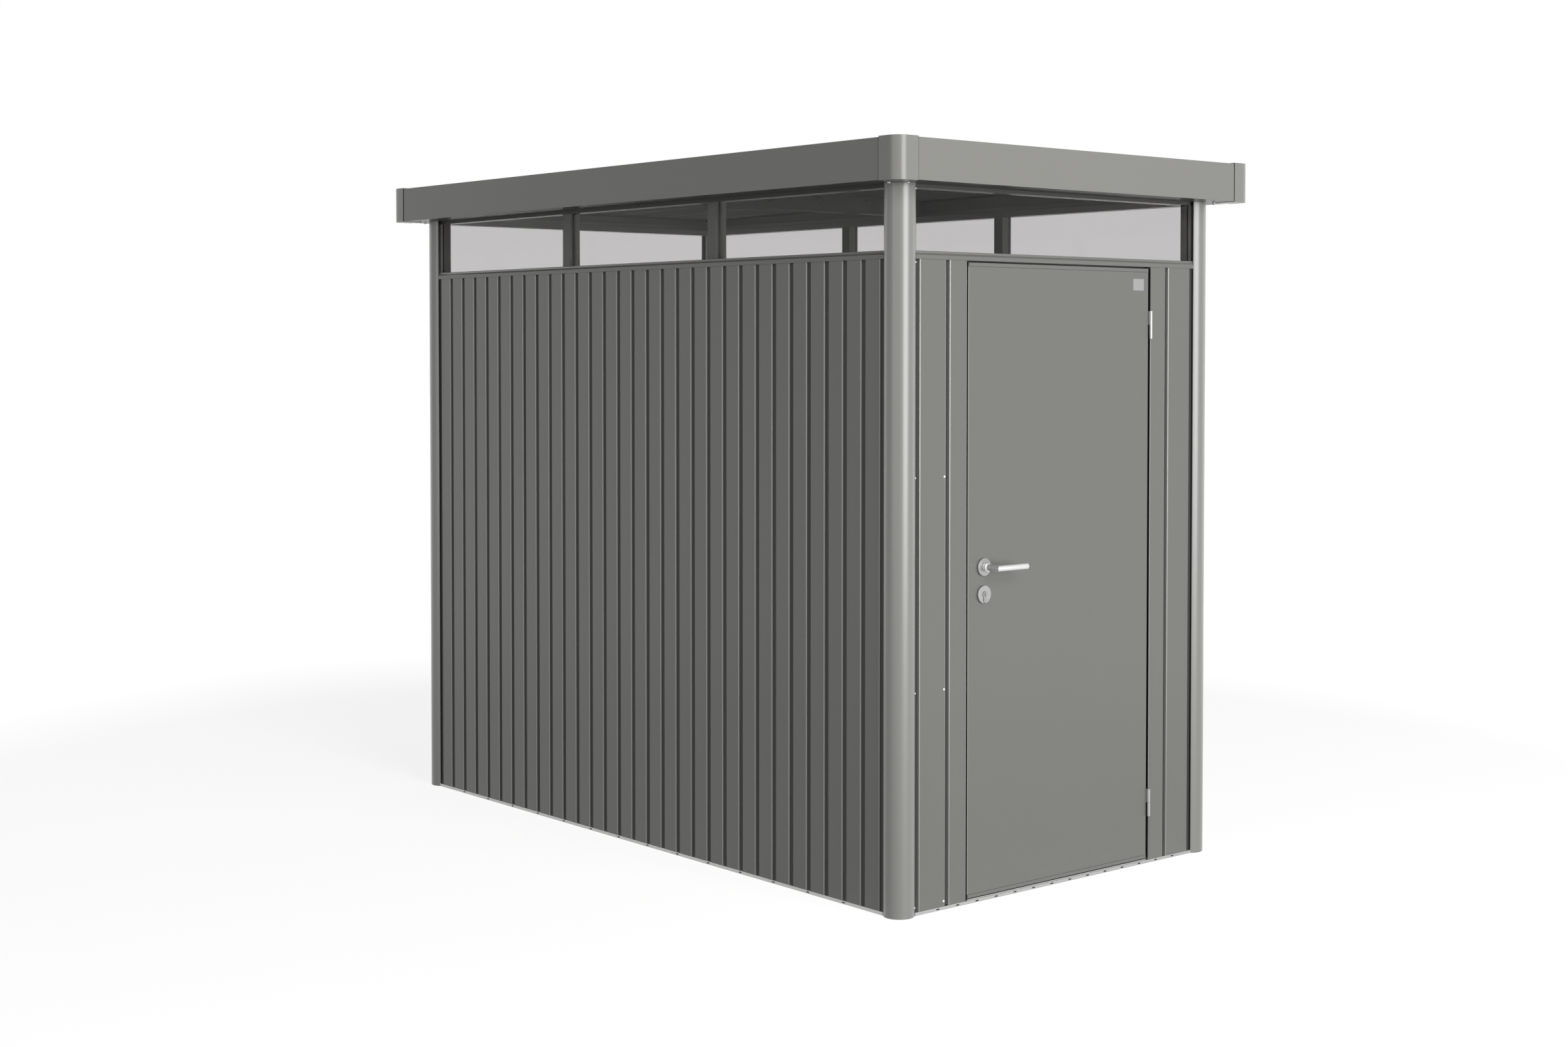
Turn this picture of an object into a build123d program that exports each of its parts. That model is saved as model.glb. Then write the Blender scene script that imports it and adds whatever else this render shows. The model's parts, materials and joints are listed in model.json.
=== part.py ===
from build123d import *
import math
import os

# Metal tool shed. Millimetres, Z up, front with the door facing -Y.
# The origin is on the ground in the middle of the footprint.

# Overall sizes
ROOF_WIDTH = 1550.0
ROOF_DEPTH = 2750.0
ROOF_TOP = 2220.0
FASCIA_HEIGHT = 120.0
OVERHANG = 98.0
SHEET = 1.2
PROFILE = 2.0
FRAME_DEPTH = 58.0
CORE_SETBACK = 14.0

HALF_WALL_X = ROOF_WIDTH / 2 - OVERHANG
HALF_WALL_Y = ROOF_DEPTH / 2 - OVERHANG
INNER_X = HALF_WALL_X - FRAME_DEPTH
INNER_Y = HALF_WALL_Y - FRAME_DEPTH
FASCIA_BOTTOM = ROOF_TOP - FASCIA_HEIGHT

# Heights
BASE_HEIGHT = 10.0
BASE_UPSTAND = 40.0
BASE_PROUD = 2.0
BASE_STEP = 11.0
HEAD_DROP = 11.0
HEAD_LEDGE = 22.0
HEAD_LIP = 38.0
HEAD_LEDGE_WIDTH = 12.0
WINDOW_HEIGHT = 179.4
SILL_HEIGHT = 24.1
SILL_LIP_HEIGHT = 12.0
SILL_SLOPE_HEIGHT = 6.0
SILL_LEG = 36.4
SILL_SETBACK = 3.0
WALL_UNDER_SILL = 1.5

WINDOW_TOP = FASCIA_BOTTOM - HEAD_DROP
HEAD_LEDGE_TOP = WINDOW_TOP + HEAD_LEDGE
HEAD_LIP_TOP = WINDOW_TOP + HEAD_LIP
SILL_TOP = WINDOW_TOP - WINDOW_HEIGHT
SILL_BOTTOM = SILL_TOP - SILL_HEIGHT
SILL_STEP = SILL_BOTTOM + SILL_LIP_HEIGHT
SILL_SHOULDER = SILL_STEP + SILL_SLOPE_HEIGHT
SILL_SKIRT = SILL_TOP - SILL_LEG
WALL_TOP = SILL_STEP - WALL_UNDER_SILL

# Wall sheets
GROOVE = 18.3
BAND = 62.0
PITCH = GROOVE + BAND
GROOVE_DEPTH = 7.0
GROOVE_TAPER = 1.0
WALL_END_MIN = 15.0
SHEET_TUCK = 14.0
DRAIN_SLOT = 12.5
DRAIN_SLOT_HEIGHT = 3.5

# Corner posts
POST_RADIUS = 45.6
POST_CENTRE_IN = 32.7
POST_EDGE = -30.5
POST_EDGE_GAP = 0.5
CORE = 44.0
POST_WEB_AT = -4.0

# Windows
MULLION_WIDTH = 41.0
MULLION_AT = 5 * PITCH
GLASS = 3.0
GLASS_SETBACK = 26.0

# Roof
ROOF_FALL = 30.0
ROOF_SHEET_DROP = 55.0
RIB_PITCH = 225.0
RIB_BASE = 60.0
RIB_CREST = 30.0
RIB_HEIGHT = 20.0
ROOF_EDGE_GAP = 20.0
RIM_WIDTH = 25.0
RIM_LIP = 14.0
CROSS_BEAM_RISE = 20.5
CROSS_BEAM_WIDTH = 60.0
CAP_RADIUS = 38.0
CAP_SHEET = 1.5
CAP_RISE = 3.0
CAP_RIM = 27.0
CAP_LAP = 12.0
CAP_LEG = 78.0

# Door
REVEAL = 406.5
LOCK_GAP = 6.0
HINGE_GAP = 10.0
DOOR_FOOT_GAP = 5.9
DOOR_HEAD_GAP = 5.0
DOOR_THICK = 25.0
DOOR_HEM = 10.0
DOOR_EDGE_BEVEL = 2.0
DOOR_RETURN = 20.0
LOCK_RETURN = 115.0
WALL_FOLD = 10.5
STOP_GAP = 5.0
STOP_REACH = 18.0
STOP_HEIGHT = 26.0
JAMB_WIDTH = 32.0
HEAD_STOP_LAP = 11.5
HEAD_PLATE_RISE = 1.5
FRONT_GROOVE = 16.0
FRONT_END = 23.0
FRONT_SPLIT = 0.402
STIFFENER_LOW = 330.0
STIFFENER_TOP_DROP = 240.0
STIFFENER_FLANGE = 25.0
STIFFENER_SLOPE = 10.0
STIFFENER_CROWN = 40.0
PLATE_IN = 23.5
PLATE_DROP = 33.0
PLATE_WIDTH = 50.0
PLATE_HEIGHT = 36.5
PLATE_THICK = 1.0

DOOR_BOTTOM = BASE_HEIGHT + DOOR_FOOT_GAP
DOOR_TOP = SILL_BOTTOM - DOOR_HEAD_GAP
HEAD_STOP_BOTTOM = DOOR_TOP - HEAD_STOP_LAP
HEAD_PLATE = SILL_BOTTOM + HEAD_PLATE_RISE
DOOR_LEFT = LOCK_GAP - REVEAL
DOOR_RIGHT = REVEAL - HINGE_GAP
STOP_OUT = -(DOOR_THICK + STOP_GAP)
STOP_EDGE = REVEAL - STOP_REACH

# Hinges
HINGE_OUT = 5.8
KNUCKLE_RADIUS = 5.5
PIN_RADIUS = 3.0
PIN_CLEARANCE = 0.3
HINGE_LENGTH = 87.0
HINGE_FOOT = 134.5
HINGE_HEAD = 133.0
KNUCKLE_GAP = 0.5
HINGE_TAB = 1.5
HINGE_TAB_DEPTH = 18.0
PIN_REACH = 30.0
HINGE_X = DOOR_RIGHT + HINGE_GAP / 2
HINGE_BOTTOMS = (DOOR_BOTTOM + HINGE_FOOT, DOOR_TOP - HINGE_HEAD - HINGE_LENGTH)

# Lever and lock
BACKSET = 62.0
LEVER_Z = 988.0
LEVER_REACH = 119.5
LEVER_OUT = 64.0
LEVER_RADIUS = 9.75
COLLAR_RADIUS = 12.75
COLLAR_GAP = 0.5
COLLAR_LENGTH = 14.0
LEVER_CLEARANCE = 0.3
SPINDLE = 8.0
ROSE_RADIUS = 26.25
ROSE_THICK = 8.0
KEY_Z = 907.5
KEY_ROUND = 8.5
KEY_LEG_WIDTH = 10.0
KEY_HEIGHT = 33.0
LOCK_CASE_THICK = 15.0
LOCK_CASE_BEHIND = 65.0
LOCK_CASE_UP = 44.0
LOCK_CASE_DOWN = 55.5
FOREND_WIDTH = 20.0
FOREND_THICK = 2.5
FOREND_BEYOND = 28.0
STRIKE_SLOT = 60.0
STRIKE_SLOT_WIDTH = 16.0

LEVER_X = DOOR_LEFT + BACKSET
LOCK_CASE_Z = (KEY_Z - LOCK_CASE_DOWN, LEVER_Z + LOCK_CASE_UP)
FOREND_Z = (LOCK_CASE_Z[0] - FOREND_BEYOND, LOCK_CASE_Z[1] + FOREND_BEYOND)

parts = {}


def bent(path, thickness):
    """Outline of a sheet bent along an open path; the sheet lies left of the path."""
    normals = []
    for (x0, y0), (x1, y1) in zip(path, path[1:]):
        length = math.hypot(x1 - x0, y1 - y0)
        normals.append((-(y1 - y0) / length, (x1 - x0) / length))
    inner = []
    for i, (x, y) in enumerate(path):
        ax, ay = normals[max(i - 1, 0)]
        bx, by = normals[min(i, len(normals) - 1)]
        scale = thickness / (1 + ax * bx + ay * by)
        inner.append((x + (ax + bx) * scale, y + (ay + by) * scale))
    return list(path) + inner[::-1]


def box(x, y, z):
    """Box from three (low, high) pairs."""
    size = [high - low for low, high in (x, y, z)]
    return Pos(x[0], y[0], z[0]) * Box(*size, align=(Align.MIN, Align.MIN, Align.MIN))


def upright(points, bottom, top):
    """Plan outline raised from bottom to top."""
    face = make_face(Polyline(*points, close=True))
    return Pos(0, 0, bottom) * extrude(face, amount=top - bottom)


def along_front(points, start, end, wall_y=HALF_WALL_Y):
    """Section of (out from the wall, height) points run along X on a front wall."""
    plane = Plane(origin=(end, -wall_y, 0), x_dir=(0, -1, 0), z_dir=(-1, 0, 0))
    face = make_face(plane * Polyline(*points, close=True))
    return extrude(face, amount=end - start, dir=(-1, 0, 0))


def to_side(solid, side):
    """Turn a piece made for the front wall to another side."""
    angle = {"front": 0, "right": 90, "back": 180, "left": -90}[side]
    return Rot(0, 0, angle) * solid


def wall_plane(side):
    return HALF_WALL_Y if side in ("front", "back") else HALF_WALL_X


def inner_half(side):
    return INNER_X if side in ("front", "back") else INNER_Y


def core_half(side):
    """Half length between the outer faces of the two post cores on a side."""
    return (HALF_WALL_X if side in ("front", "back") else HALF_WALL_Y) - CORE_SETBACK


def add(name, shape):
    parts[name] = shape


SIDES = ("front", "back", "left", "right")


# Base frame
def base_section():
    return bent(
        [
            (-FRAME_DEPTH, 0),
            (BASE_PROUD, 0),
            (BASE_PROUD, BASE_HEIGHT),
            (-BASE_STEP, BASE_HEIGHT),
            (-BASE_STEP, BASE_UPSTAND),
        ],
        PROFILE,
    )


def threshold_section():
    """The rail under the door: low in front, with the door's bottom stop behind."""
    return bent(
        [
            (-FRAME_DEPTH, 0),
            (BASE_PROUD, 0),
            (BASE_PROUD, BASE_HEIGHT),
            (STOP_OUT, BASE_HEIGHT),
            (STOP_OUT, STOP_HEIGHT),
        ],
        PROFILE,
    )


def drain_slots(rail, half, pitch, wall_y):
    count = int((half - 2 * DRAIN_SLOT) / pitch + 0.5)
    middle = BASE_HEIGHT / 2
    face = -wall_y - BASE_PROUD
    for i in range(-count, count):
        at = (i + 0.5) * pitch
        rail -= box(
            (at - DRAIN_SLOT / 2, at + DRAIN_SLOT / 2),
            (face - 1, face + PROFILE),
            (middle - DRAIN_SLOT_HEIGHT / 2, middle + DRAIN_SLOT_HEIGHT / 2),
        )
    return rail


def clear_of_shells(rail, side, bottom, top):
    """Cut the proud front of a rail where the shells of the two posts stand."""
    wall_y = wall_plane(side)
    half = inner_half(side)
    centre = half + FRAME_DEPTH - POST_CENTRE_IN
    edge = centre + POST_EDGE - POST_EDGE_GAP
    for low, high in ((edge, half + 1), (-half - 1, -edge)):
        rail -= box((low, high), (-wall_y - 10, -wall_y + PROFILE), (bottom - 1, top + 1))
    return rail


def base_frame():
    for side in ("back", "left", "right"):
        half = inner_half(side)
        wall_y = wall_plane(side)
        rail = along_front(base_section(), -half, half, wall_y)
        rail = drain_slots(rail, half, 2 * PITCH, wall_y)
        rail = clear_of_shells(rail, side, 0, BASE_HEIGHT)
        add("base_rail_" + side, to_side(rail, side))
    front = along_front(threshold_section(), -STOP_EDGE, STOP_EDGE)
    seat = bent(
        [
            (-FRAME_DEPTH, 0),
            (BASE_PROUD, 0),
            (BASE_PROUD, BASE_HEIGHT),
            (-FRAME_DEPTH, BASE_HEIGHT),
        ],
        PROFILE,
    )
    jamb_end = REVEAL + JAMB_WIDTH
    front += along_front(seat, STOP_EDGE, jamb_end) + along_front(seat, -jamb_end, -STOP_EDGE)
    front += along_front(base_section(), -INNER_X, -jamb_end)
    front += along_front(base_section(), jamb_end, INNER_X)
    front = drain_slots(front, INNER_X, PITCH, HALF_WALL_Y)
    add("base_rail_front", clear_of_shells(front, "front", 0, BASE_HEIGHT))


# Corner posts
def post_section():
    ring = Circle(POST_RADIUS) - Circle(POST_RADIUS - PROFILE)
    keep = Pos(POST_EDGE, POST_EDGE) * Rectangle(200, 200, align=(Align.MIN, Align.MIN))
    shell = ring & keep
    core_low = POST_CENTRE_IN - FRAME_DEPTH
    core = Pos(core_low, core_low) * Rectangle(CORE, CORE, align=(Align.MIN, Align.MIN))
    hollow = Pos(core_low + PROFILE, core_low + PROFILE) * Rectangle(
        CORE - 2 * PROFILE, CORE - 2 * PROFILE, align=(Align.MIN, Align.MIN)
    )
    core_top = core_low + CORE
    web_length = POST_RADIUS - PROFILE / 2 - core_top
    web = Pos(POST_WEB_AT, core_top) * Rectangle(
        PROFILE, web_length, align=(Align.MIN, Align.MIN)
    )
    other_web = Pos(core_top, POST_WEB_AT) * Rectangle(
        web_length, PROFILE, align=(Align.MIN, Align.MIN)
    )
    return shell, (core - hollow), web + other_web


def corner_posts():
    shell, core, webs = post_section()
    frame_section = core + webs + shell
    post = extrude(frame_section, amount=WINDOW_TOP)
    post += extrude(shell, amount=FASCIA_BOTTOM)
    centre_x = HALF_WALL_X - POST_CENTRE_IN
    centre_y = HALF_WALL_Y - POST_CENTRE_IN
    back_right = Pos(centre_x, centre_y, 0) * post
    back_left = mirror(back_right, about=Plane.YZ)
    add("post_back_right", back_right)
    add("post_back_left", back_left)
    add("post_front_right", mirror(back_right, about=Plane.XZ))
    add("post_front_left", mirror(back_left, about=Plane.XZ))


# Wall sheets
def grooved_path(bands, start, end):
    """Plan line of a grooved sheet: bands at the face, grooves and both ends behind it."""
    path = [(start, -GROOVE_DEPTH)]
    for low, high in bands:
        path.append((low - GROOVE_TAPER, -GROOVE_DEPTH))
        path.append((low, 0))
        path.append((high, 0))
        path.append((high + GROOVE_TAPER, -GROOVE_DEPTH))
    path.append((end, -GROOVE_DEPTH))
    return path


def sheet_wall(path, wall_y):
    """The sheet lies behind its outer line, which is given as (along, out) points."""
    points = [(along, -wall_y - out) for along, out in path]
    return upright(bent(points, SHEET), BASE_HEIGHT, WALL_TOP)


def plain_wall(side):
    """As many bands as fit between the posts, the same left over at both ends."""
    band_count = int((2 * (inner_half(side) - WALL_END_MIN) + GROOVE) / PITCH)
    first = -(band_count * PITCH - GROOVE) / 2
    bands = [(first + i * PITCH, first + i * PITCH + BAND) for i in range(band_count)]
    end = inner_half(side) + SHEET_TUCK
    return to_side(sheet_wall(grooved_path(bands, -end, end), wall_plane(side)), side)


def front_wall():
    outer = INNER_X - FRONT_END
    split = REVEAL + (outer - REVEAL - FRONT_GROOVE) * FRONT_SPLIT
    bands = [(REVEAL, split), (split + FRONT_GROOVE, outer)]
    path = grooved_path(bands, REVEAL, INNER_X + SHEET_TUCK)
    path = [(REVEAL, -WALL_FOLD), (REVEAL, 0)] + path[3:]
    right = sheet_wall(path, HALF_WALL_Y)
    for pocket in frame_tab_pockets():
        right -= pocket
    add("front_wall_right", right)
    add("front_wall_left", mirror(sheet_wall(path, HALF_WALL_Y), about=Plane.YZ))


def walls():
    add("left_wall", plain_wall("left"))
    add("right_wall", plain_wall("right"))
    add("back_wall", plain_wall("back"))
    front_wall()


# Sill and head rails
def sill_section():
    return bent(
        [
            (PROFILE, SILL_BOTTOM),
            (PROFILE, SILL_STEP),
            (-SILL_SETBACK, SILL_SHOULDER),
            (-SILL_SETBACK, SILL_TOP),
            (-FRAME_DEPTH, SILL_TOP),
            (-FRAME_DEPTH, SILL_SKIRT),
        ],
        PROFILE,
    )


def sill_rails():
    for side in SIDES:
        half = inner_half(side)
        wall_y = wall_plane(side)
        rail = along_front(sill_section(), -half, half, wall_y)
        rail = clear_of_shells(rail, side, SILL_SKIRT, SILL_TOP)
        add("sill_rail_" + side, to_side(rail, side))


def head_section(top):
    return bent(
        [
            (HEAD_LEDGE_WIDTH - FRAME_DEPTH, HEAD_LIP_TOP),
            (HEAD_LEDGE_WIDTH - FRAME_DEPTH, HEAD_LEDGE_TOP),
            (-FRAME_DEPTH, HEAD_LEDGE_TOP),
            (-FRAME_DEPTH, WINDOW_TOP),
            (-CORE_SETBACK, WINDOW_TOP),
            (-CORE_SETBACK, top),
        ],
        PROFILE,
    )


def roof_tilt():
    angle = math.degrees(math.atan2(ROOF_FALL, ROOF_DEPTH))
    return Pos(0, 0, ROOF_TOP - ROOF_SHEET_DROP) * Rot(-angle, 0, 0)


def under_roof(solid):
    """Cut a beam's top to the slope of the roof sheet that lies on it."""
    above = Box(4000, 4000, 300, align=(Align.CENTER, Align.CENTER, Align.MIN))
    return solid - roof_tilt() * above


def head_beams():
    for side in SIDES:
        half = INNER_X if side in ("front", "back") else core_half(side)
        beam = along_front(head_section(ROOF_TOP), -half, half, wall_plane(side))
        add("head_beam_" + side, under_roof(to_side(beam, side)))


# Windows
def mullions():
    solids = []
    for sign in (-1, 1):
        for at in (-MULLION_AT, MULLION_AT):
            outer = sign * (HALF_WALL_X - CORE_SETBACK)
            inner = sign * INNER_X
            x = (min(outer, inner), max(outer, inner))
            y = (at - MULLION_WIDTH / 2, at + MULLION_WIDTH / 2)
            tube = box(x, y, (SILL_TOP, WINDOW_TOP))
            tube -= box(
                (x[0] + PROFILE, x[1] - PROFILE),
                (y[0] + PROFILE, y[1] - PROFILE),
                (SILL_TOP, WINDOW_TOP),
            )
            solids.append(tube)
    add("window_mullions", Compound(children=solids))


def pane(side, start, end):
    wall_y = wall_plane(side)
    return to_side(
        box(
            (start, end),
            (-wall_y + GLASS_SETBACK, -wall_y + GLASS_SETBACK + GLASS),
            (SILL_TOP, WINDOW_TOP),
        ),
        side,
    )


def glass():
    for side in ("front", "back"):
        add("window_glass_" + side, pane(side, -INNER_X, INNER_X))
    near = MULLION_AT - MULLION_WIDTH / 2
    far = MULLION_AT + MULLION_WIDTH / 2
    for side in ("left", "right"):
        spans = ((-INNER_Y, -far), (-near, near), (far, INNER_Y))
        add("window_glass_" + side, Compound(children=[pane(side, *span) for span in spans]))


# Roof
def roof_sheet():
    half = ROOF_WIDTH / 2 - ROOF_EDGE_GAP
    path = [(-half, 0)]
    ribs = int(half / RIB_PITCH)
    for i in range(-ribs, ribs):
        centre = (i + 0.5) * RIB_PITCH
        path.append((centre - RIB_BASE / 2, 0))
        path.append((centre - RIB_CREST / 2, RIB_HEIGHT))
        path.append((centre + RIB_CREST / 2, RIB_HEIGHT))
        path.append((centre + RIB_BASE / 2, 0))
    path.append((half, 0))
    length = ROOF_DEPTH - 2 * ROOF_EDGE_GAP
    face = make_face(Plane.XZ * Polyline(*bent(path, SHEET), close=True))
    sheet = Pos(0, length / 2, 0) * extrude(face, amount=length, dir=(0, -1, 0))
    add("roof_sheet", roof_tilt() * sheet)


def cross_beam():
    half = CROSS_BEAM_WIDTH / 2
    low = WINDOW_TOP + CROSS_BEAM_RISE
    path = [(half, ROOF_TOP), (half, low), (-half, low), (-half, ROOF_TOP)]
    outline = bent(path, -PROFILE)
    beam = along_front(outline, -INNER_X, INNER_X, 0)
    add("roof_cross_beam", under_roof(beam))


def fascia_section():
    top_inner = OVERHANG - RIM_WIDTH
    return bent(
        [
            (-CORE_SETBACK, FASCIA_BOTTOM),
            (OVERHANG, FASCIA_BOTTOM),
            (OVERHANG, ROOF_TOP),
            (top_inner, ROOF_TOP),
            (top_inner, ROOF_TOP - RIM_LIP),
        ],
        CAP_SHEET,
    )


CORNERS = ((-1, -1), (1, -1), (-1, 1), (1, 1))


def roof_corner(sign_x, sign_y, reach, z):
    """Box in a corner of the roof, measured in from its two outer faces."""
    x = (ROOF_WIDTH / 2 - reach, ROOF_WIDTH / 2 + 10)
    y = (ROOF_DEPTH / 2 - reach, ROOF_DEPTH / 2 + 10)
    x = x if sign_x > 0 else (-x[1], -x[0])
    y = y if sign_y > 0 else (-y[1], -y[0])
    return box(x, y, z)


def fascias():
    for side in SIDES:
        half = (ROOF_WIDTH if side in ("front", "back") else ROOF_DEPTH) / 2
        wall_y = wall_plane(side)
        strip = along_front(fascia_section(), -half, half, wall_y)
        outer = wall_y + OVERHANG
        inner = wall_y - CORE_SETBACK
        run_in = outer - inner
        for sign in (-1, 1):
            mitre = [
                (sign * half, -outer),
                (sign * (half - run_in), -inner),
                (sign * (half + run_in), -inner),
            ]
            strip -= upright(mitre, FASCIA_BOTTOM - 1, ROOF_TOP + 1)
        strip = to_side(strip, side)
        for sign_x, sign_y in CORNERS:
            z = (FASCIA_BOTTOM - 1, ROOF_TOP + 1)
            strip -= roof_corner(sign_x, sign_y, CAP_LEG - CAP_LAP, z)
        add("fascia_" + side, strip)


def rounded_corner(leg, skin, bottom, top):
    """Square block with its outer vertical edge rounded, its outer faces at skin."""
    size = leg + skin
    block = Box(size, size, top - bottom, align=(Align.MAX, Align.MAX, Align.MIN))
    edge = block.edges().filter_by(Axis.Z).sort_by(lambda e: e.center().X + e.center().Y)[-1]
    block = fillet(edge, CAP_RADIUS + skin)
    return Pos(skin, skin, bottom) * block


def corner_caps():
    solids = []
    for sign_x, sign_y in CORNERS:
        cap = rounded_corner(CAP_LEG, CAP_SHEET, FASCIA_BOTTOM - CAP_SHEET, ROOF_TOP + CAP_RISE)
        cap -= rounded_corner(CAP_LEG + 10, 0, FASCIA_BOTTOM, ROOF_TOP)
        span = (-CAP_LEG - 10, -CAP_RIM)
        cap -= box(span, span, (ROOF_TOP - 1, ROOF_TOP + 10))
        cap = Pos(ROOF_WIDTH / 2, ROOF_DEPTH / 2, 0) * cap
        if sign_x < 0:
            cap = mirror(cap, about=Plane.YZ)
        if sign_y < 0:
            cap = mirror(cap, about=Plane.XZ)
        solids.append(cap)
    add("fascia_corner_caps", Compound(children=solids))


# Door frame
def door_frame():
    far = REVEAL + JAMB_WIDTH
    path = [
        (far, -SHEET),
        (REVEAL + SHEET, -SHEET),
        (REVEAL + SHEET, STOP_OUT),
        (STOP_EDGE, STOP_OUT),
        (STOP_EDGE, -FRAME_DEPTH),
        (far, -FRAME_DEPTH),
    ]
    points = [(along, -HALF_WALL_Y - out) for along, out in path]
    blank = upright(bent(points, -PROFILE), BASE_HEIGHT, SILL_SKIRT)
    blank -= box((0, REVEAL + SHEET), (-HALF_WALL_Y, 0), (HEAD_STOP_BOTTOM, SILL_SKIRT))
    right = blank
    for pocket in frame_tab_pockets():
        right -= pocket
    middle = -HALF_WALL_Y + DOOR_THICK / 2
    left = mirror(blank, about=Plane.YZ)
    left -= box(
        (-REVEAL - SHEET - PROFILE - 1, -REVEAL),
        (middle - STRIKE_SLOT_WIDTH / 2, middle + STRIKE_SLOT_WIDTH / 2),
        (LEVER_Z - STRIKE_SLOT / 2, LEVER_Z + STRIKE_SLOT / 2),
    )
    add("door_jambs", Compound(children=[right, left]))
    leg = PROFILE - FRAME_DEPTH
    head = bent(
        [
            (0, SILL_STEP - SHEET - PROFILE / 2),
            (0, HEAD_PLATE),
            (STOP_OUT, HEAD_PLATE),
            (STOP_OUT, HEAD_STOP_BOTTOM),
            (leg, HEAD_STOP_BOTTOM),
            (leg, SILL_TOP - 2 * PROFILE),
        ],
        -PROFILE,
    )
    add("door_head_stop", along_front(head, -REVEAL, REVEAL))


# Door leaf
def euro_profile(at_y, depth, extra=0.0):
    """Lock cylinder shape on the front, run along +Y from at_y."""
    leg = KEY_HEIGHT - KEY_ROUND - KEY_LEG_WIDTH / 2
    shape = Circle(KEY_ROUND + extra)
    shape += Pos(0, -leg / 2) * Rectangle(KEY_LEG_WIDTH + 2 * extra, leg)
    shape += Pos(0, -leg) * Circle(KEY_LEG_WIDTH / 2 + extra)
    plane = Plane(origin=(LEVER_X, at_y, KEY_Z), x_dir=(1, 0, 0), z_dir=(0, -1, 0))
    return extrude(plane * shape, amount=depth, dir=(0, 1, 0))


def rod(x, z, radius, y):
    """Round bar along Y between two Y values."""
    plane = Plane(origin=(x, y[0], z), x_dir=(1, 0, 0), z_dir=(0, -1, 0))
    return extrude(plane * Circle(radius), amount=y[1] - y[0], dir=(0, 1, 0))


FACE_Y = -HALF_WALL_Y
BACK_Y = FACE_Y + DOOR_THICK


def door_leaf():
    path = [
        (DOOR_RIGHT - DOOR_RETURN, -DOOR_THICK),
        (DOOR_RIGHT, -DOOR_THICK),
        (DOOR_RIGHT, -DOOR_EDGE_BEVEL),
        (DOOR_RIGHT - DOOR_EDGE_BEVEL, 0),
        (DOOR_LEFT + DOOR_EDGE_BEVEL, 0),
        (DOOR_LEFT, -DOOR_EDGE_BEVEL),
        (DOOR_LEFT, -DOOR_THICK),
        (DOOR_LEFT + LOCK_RETURN, -DOOR_THICK),
    ]
    points = [(along, -HALF_WALL_Y - out) for along, out in path]
    hem_low = DOOR_BOTTOM + DOOR_HEM
    hem_high = DOOR_TOP - DOOR_HEM
    leaf = upright(bent(points, -SHEET), hem_low, hem_high)
    for edge, sign in ((DOOR_TOP, 1), (DOOR_BOTTOM, -1)):
        hem = [
            (-1.0, edge - sign * (DOOR_HEM + 4)),
            (-1.0, edge),
            (-DOOR_THICK, edge),
            (-DOOR_THICK, edge - sign * (DOOR_HEM + 10)),
        ]
        leaf += along_front(bent(hem, sign * SHEET), DOOR_LEFT, DOOR_RIGHT)
    leaf -= rod(LEVER_X, LEVER_Z, 12.0, (FACE_Y - 1, FACE_Y + 5))
    leaf -= euro_profile(FACE_Y - 1, 5, extra=1.0)
    leaf -= rod(LEVER_X, LEVER_Z, 12.0, (BACK_Y - 5, BACK_Y + 1))
    leaf -= euro_profile(BACK_Y - 5, 6, extra=1.0)
    leaf -= forend_block(0.0)
    for pocket in leaf_tab_pockets():
        leaf -= pocket
    add("door_leaf", leaf)


def forend_block(inset):
    middle = FACE_Y + DOOR_THICK / 2
    return box(
        (DOOR_LEFT, DOOR_LEFT + FOREND_THICK),
        (middle - FOREND_WIDTH / 2 + inset, middle + FOREND_WIDTH / 2 - inset),
        FOREND_Z,
    )


def stiffeners():
    solids = []
    start = DOOR_LEFT + LOCK_RETURN + 1
    end = DOOR_RIGHT - DOOR_RETURN - 1
    depth = DOOR_THICK - SHEET
    top = DOOR_TOP - STIFFENER_TOP_DROP
    crown = STIFFENER_CROWN / 2
    root = crown + STIFFENER_SLOPE
    edge = root + STIFFENER_FLANGE
    for height in (STIFFENER_LOW, (LOCK_CASE_Z[1] + top) / 2, top):
        hat = [
            (-SHEET, height - edge),
            (-SHEET, height - root),
            (-SHEET - depth, height - crown),
            (-SHEET - depth, height + crown),
            (-SHEET, height + root),
            (-SHEET, height + edge),
        ]
        solids.append(along_front(bent(hat, SHEET), start, end))
    add("door_stiffeners", Compound(children=solids))


def lock():
    middle = FACE_Y + DOOR_THICK / 2
    half = LOCK_CASE_THICK / 2
    case = box(
        (DOOR_LEFT + FOREND_THICK, LEVER_X + LOCK_CASE_BEHIND),
        (middle - half, middle + half),
        LOCK_CASE_Z,
    )
    case += forend_block(0.0)
    case -= rod(LEVER_X, LEVER_Z, 8.0, (middle - half - 1, middle + half + 1))
    case -= euro_profile(middle - half - 1, 2 * half + 2)
    add("lock_case", case)
    add("lock_cylinder", euro_profile(FACE_Y - ROSE_THICK - 1, DOOR_THICK + 2 * ROSE_THICK + 2))


def lock_plates():
    solids = []
    for y in ((FACE_Y - ROSE_THICK, FACE_Y), (BACK_Y, BACK_Y + ROSE_THICK)):
        rose = rod(LEVER_X, LEVER_Z, ROSE_RADIUS, y)
        rose -= rod(LEVER_X, LEVER_Z, LEVER_RADIUS + LEVER_CLEARANCE, (y[0] - 1, y[1] + 1))
        key_plate = rod(LEVER_X, KEY_Z, ROSE_RADIUS, y)
        key_plate -= euro_profile(y[0] - 1, ROSE_THICK + 2)
        solids += [rose, key_plate]
    add("lock_plates", Compound(children=solids))


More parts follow.
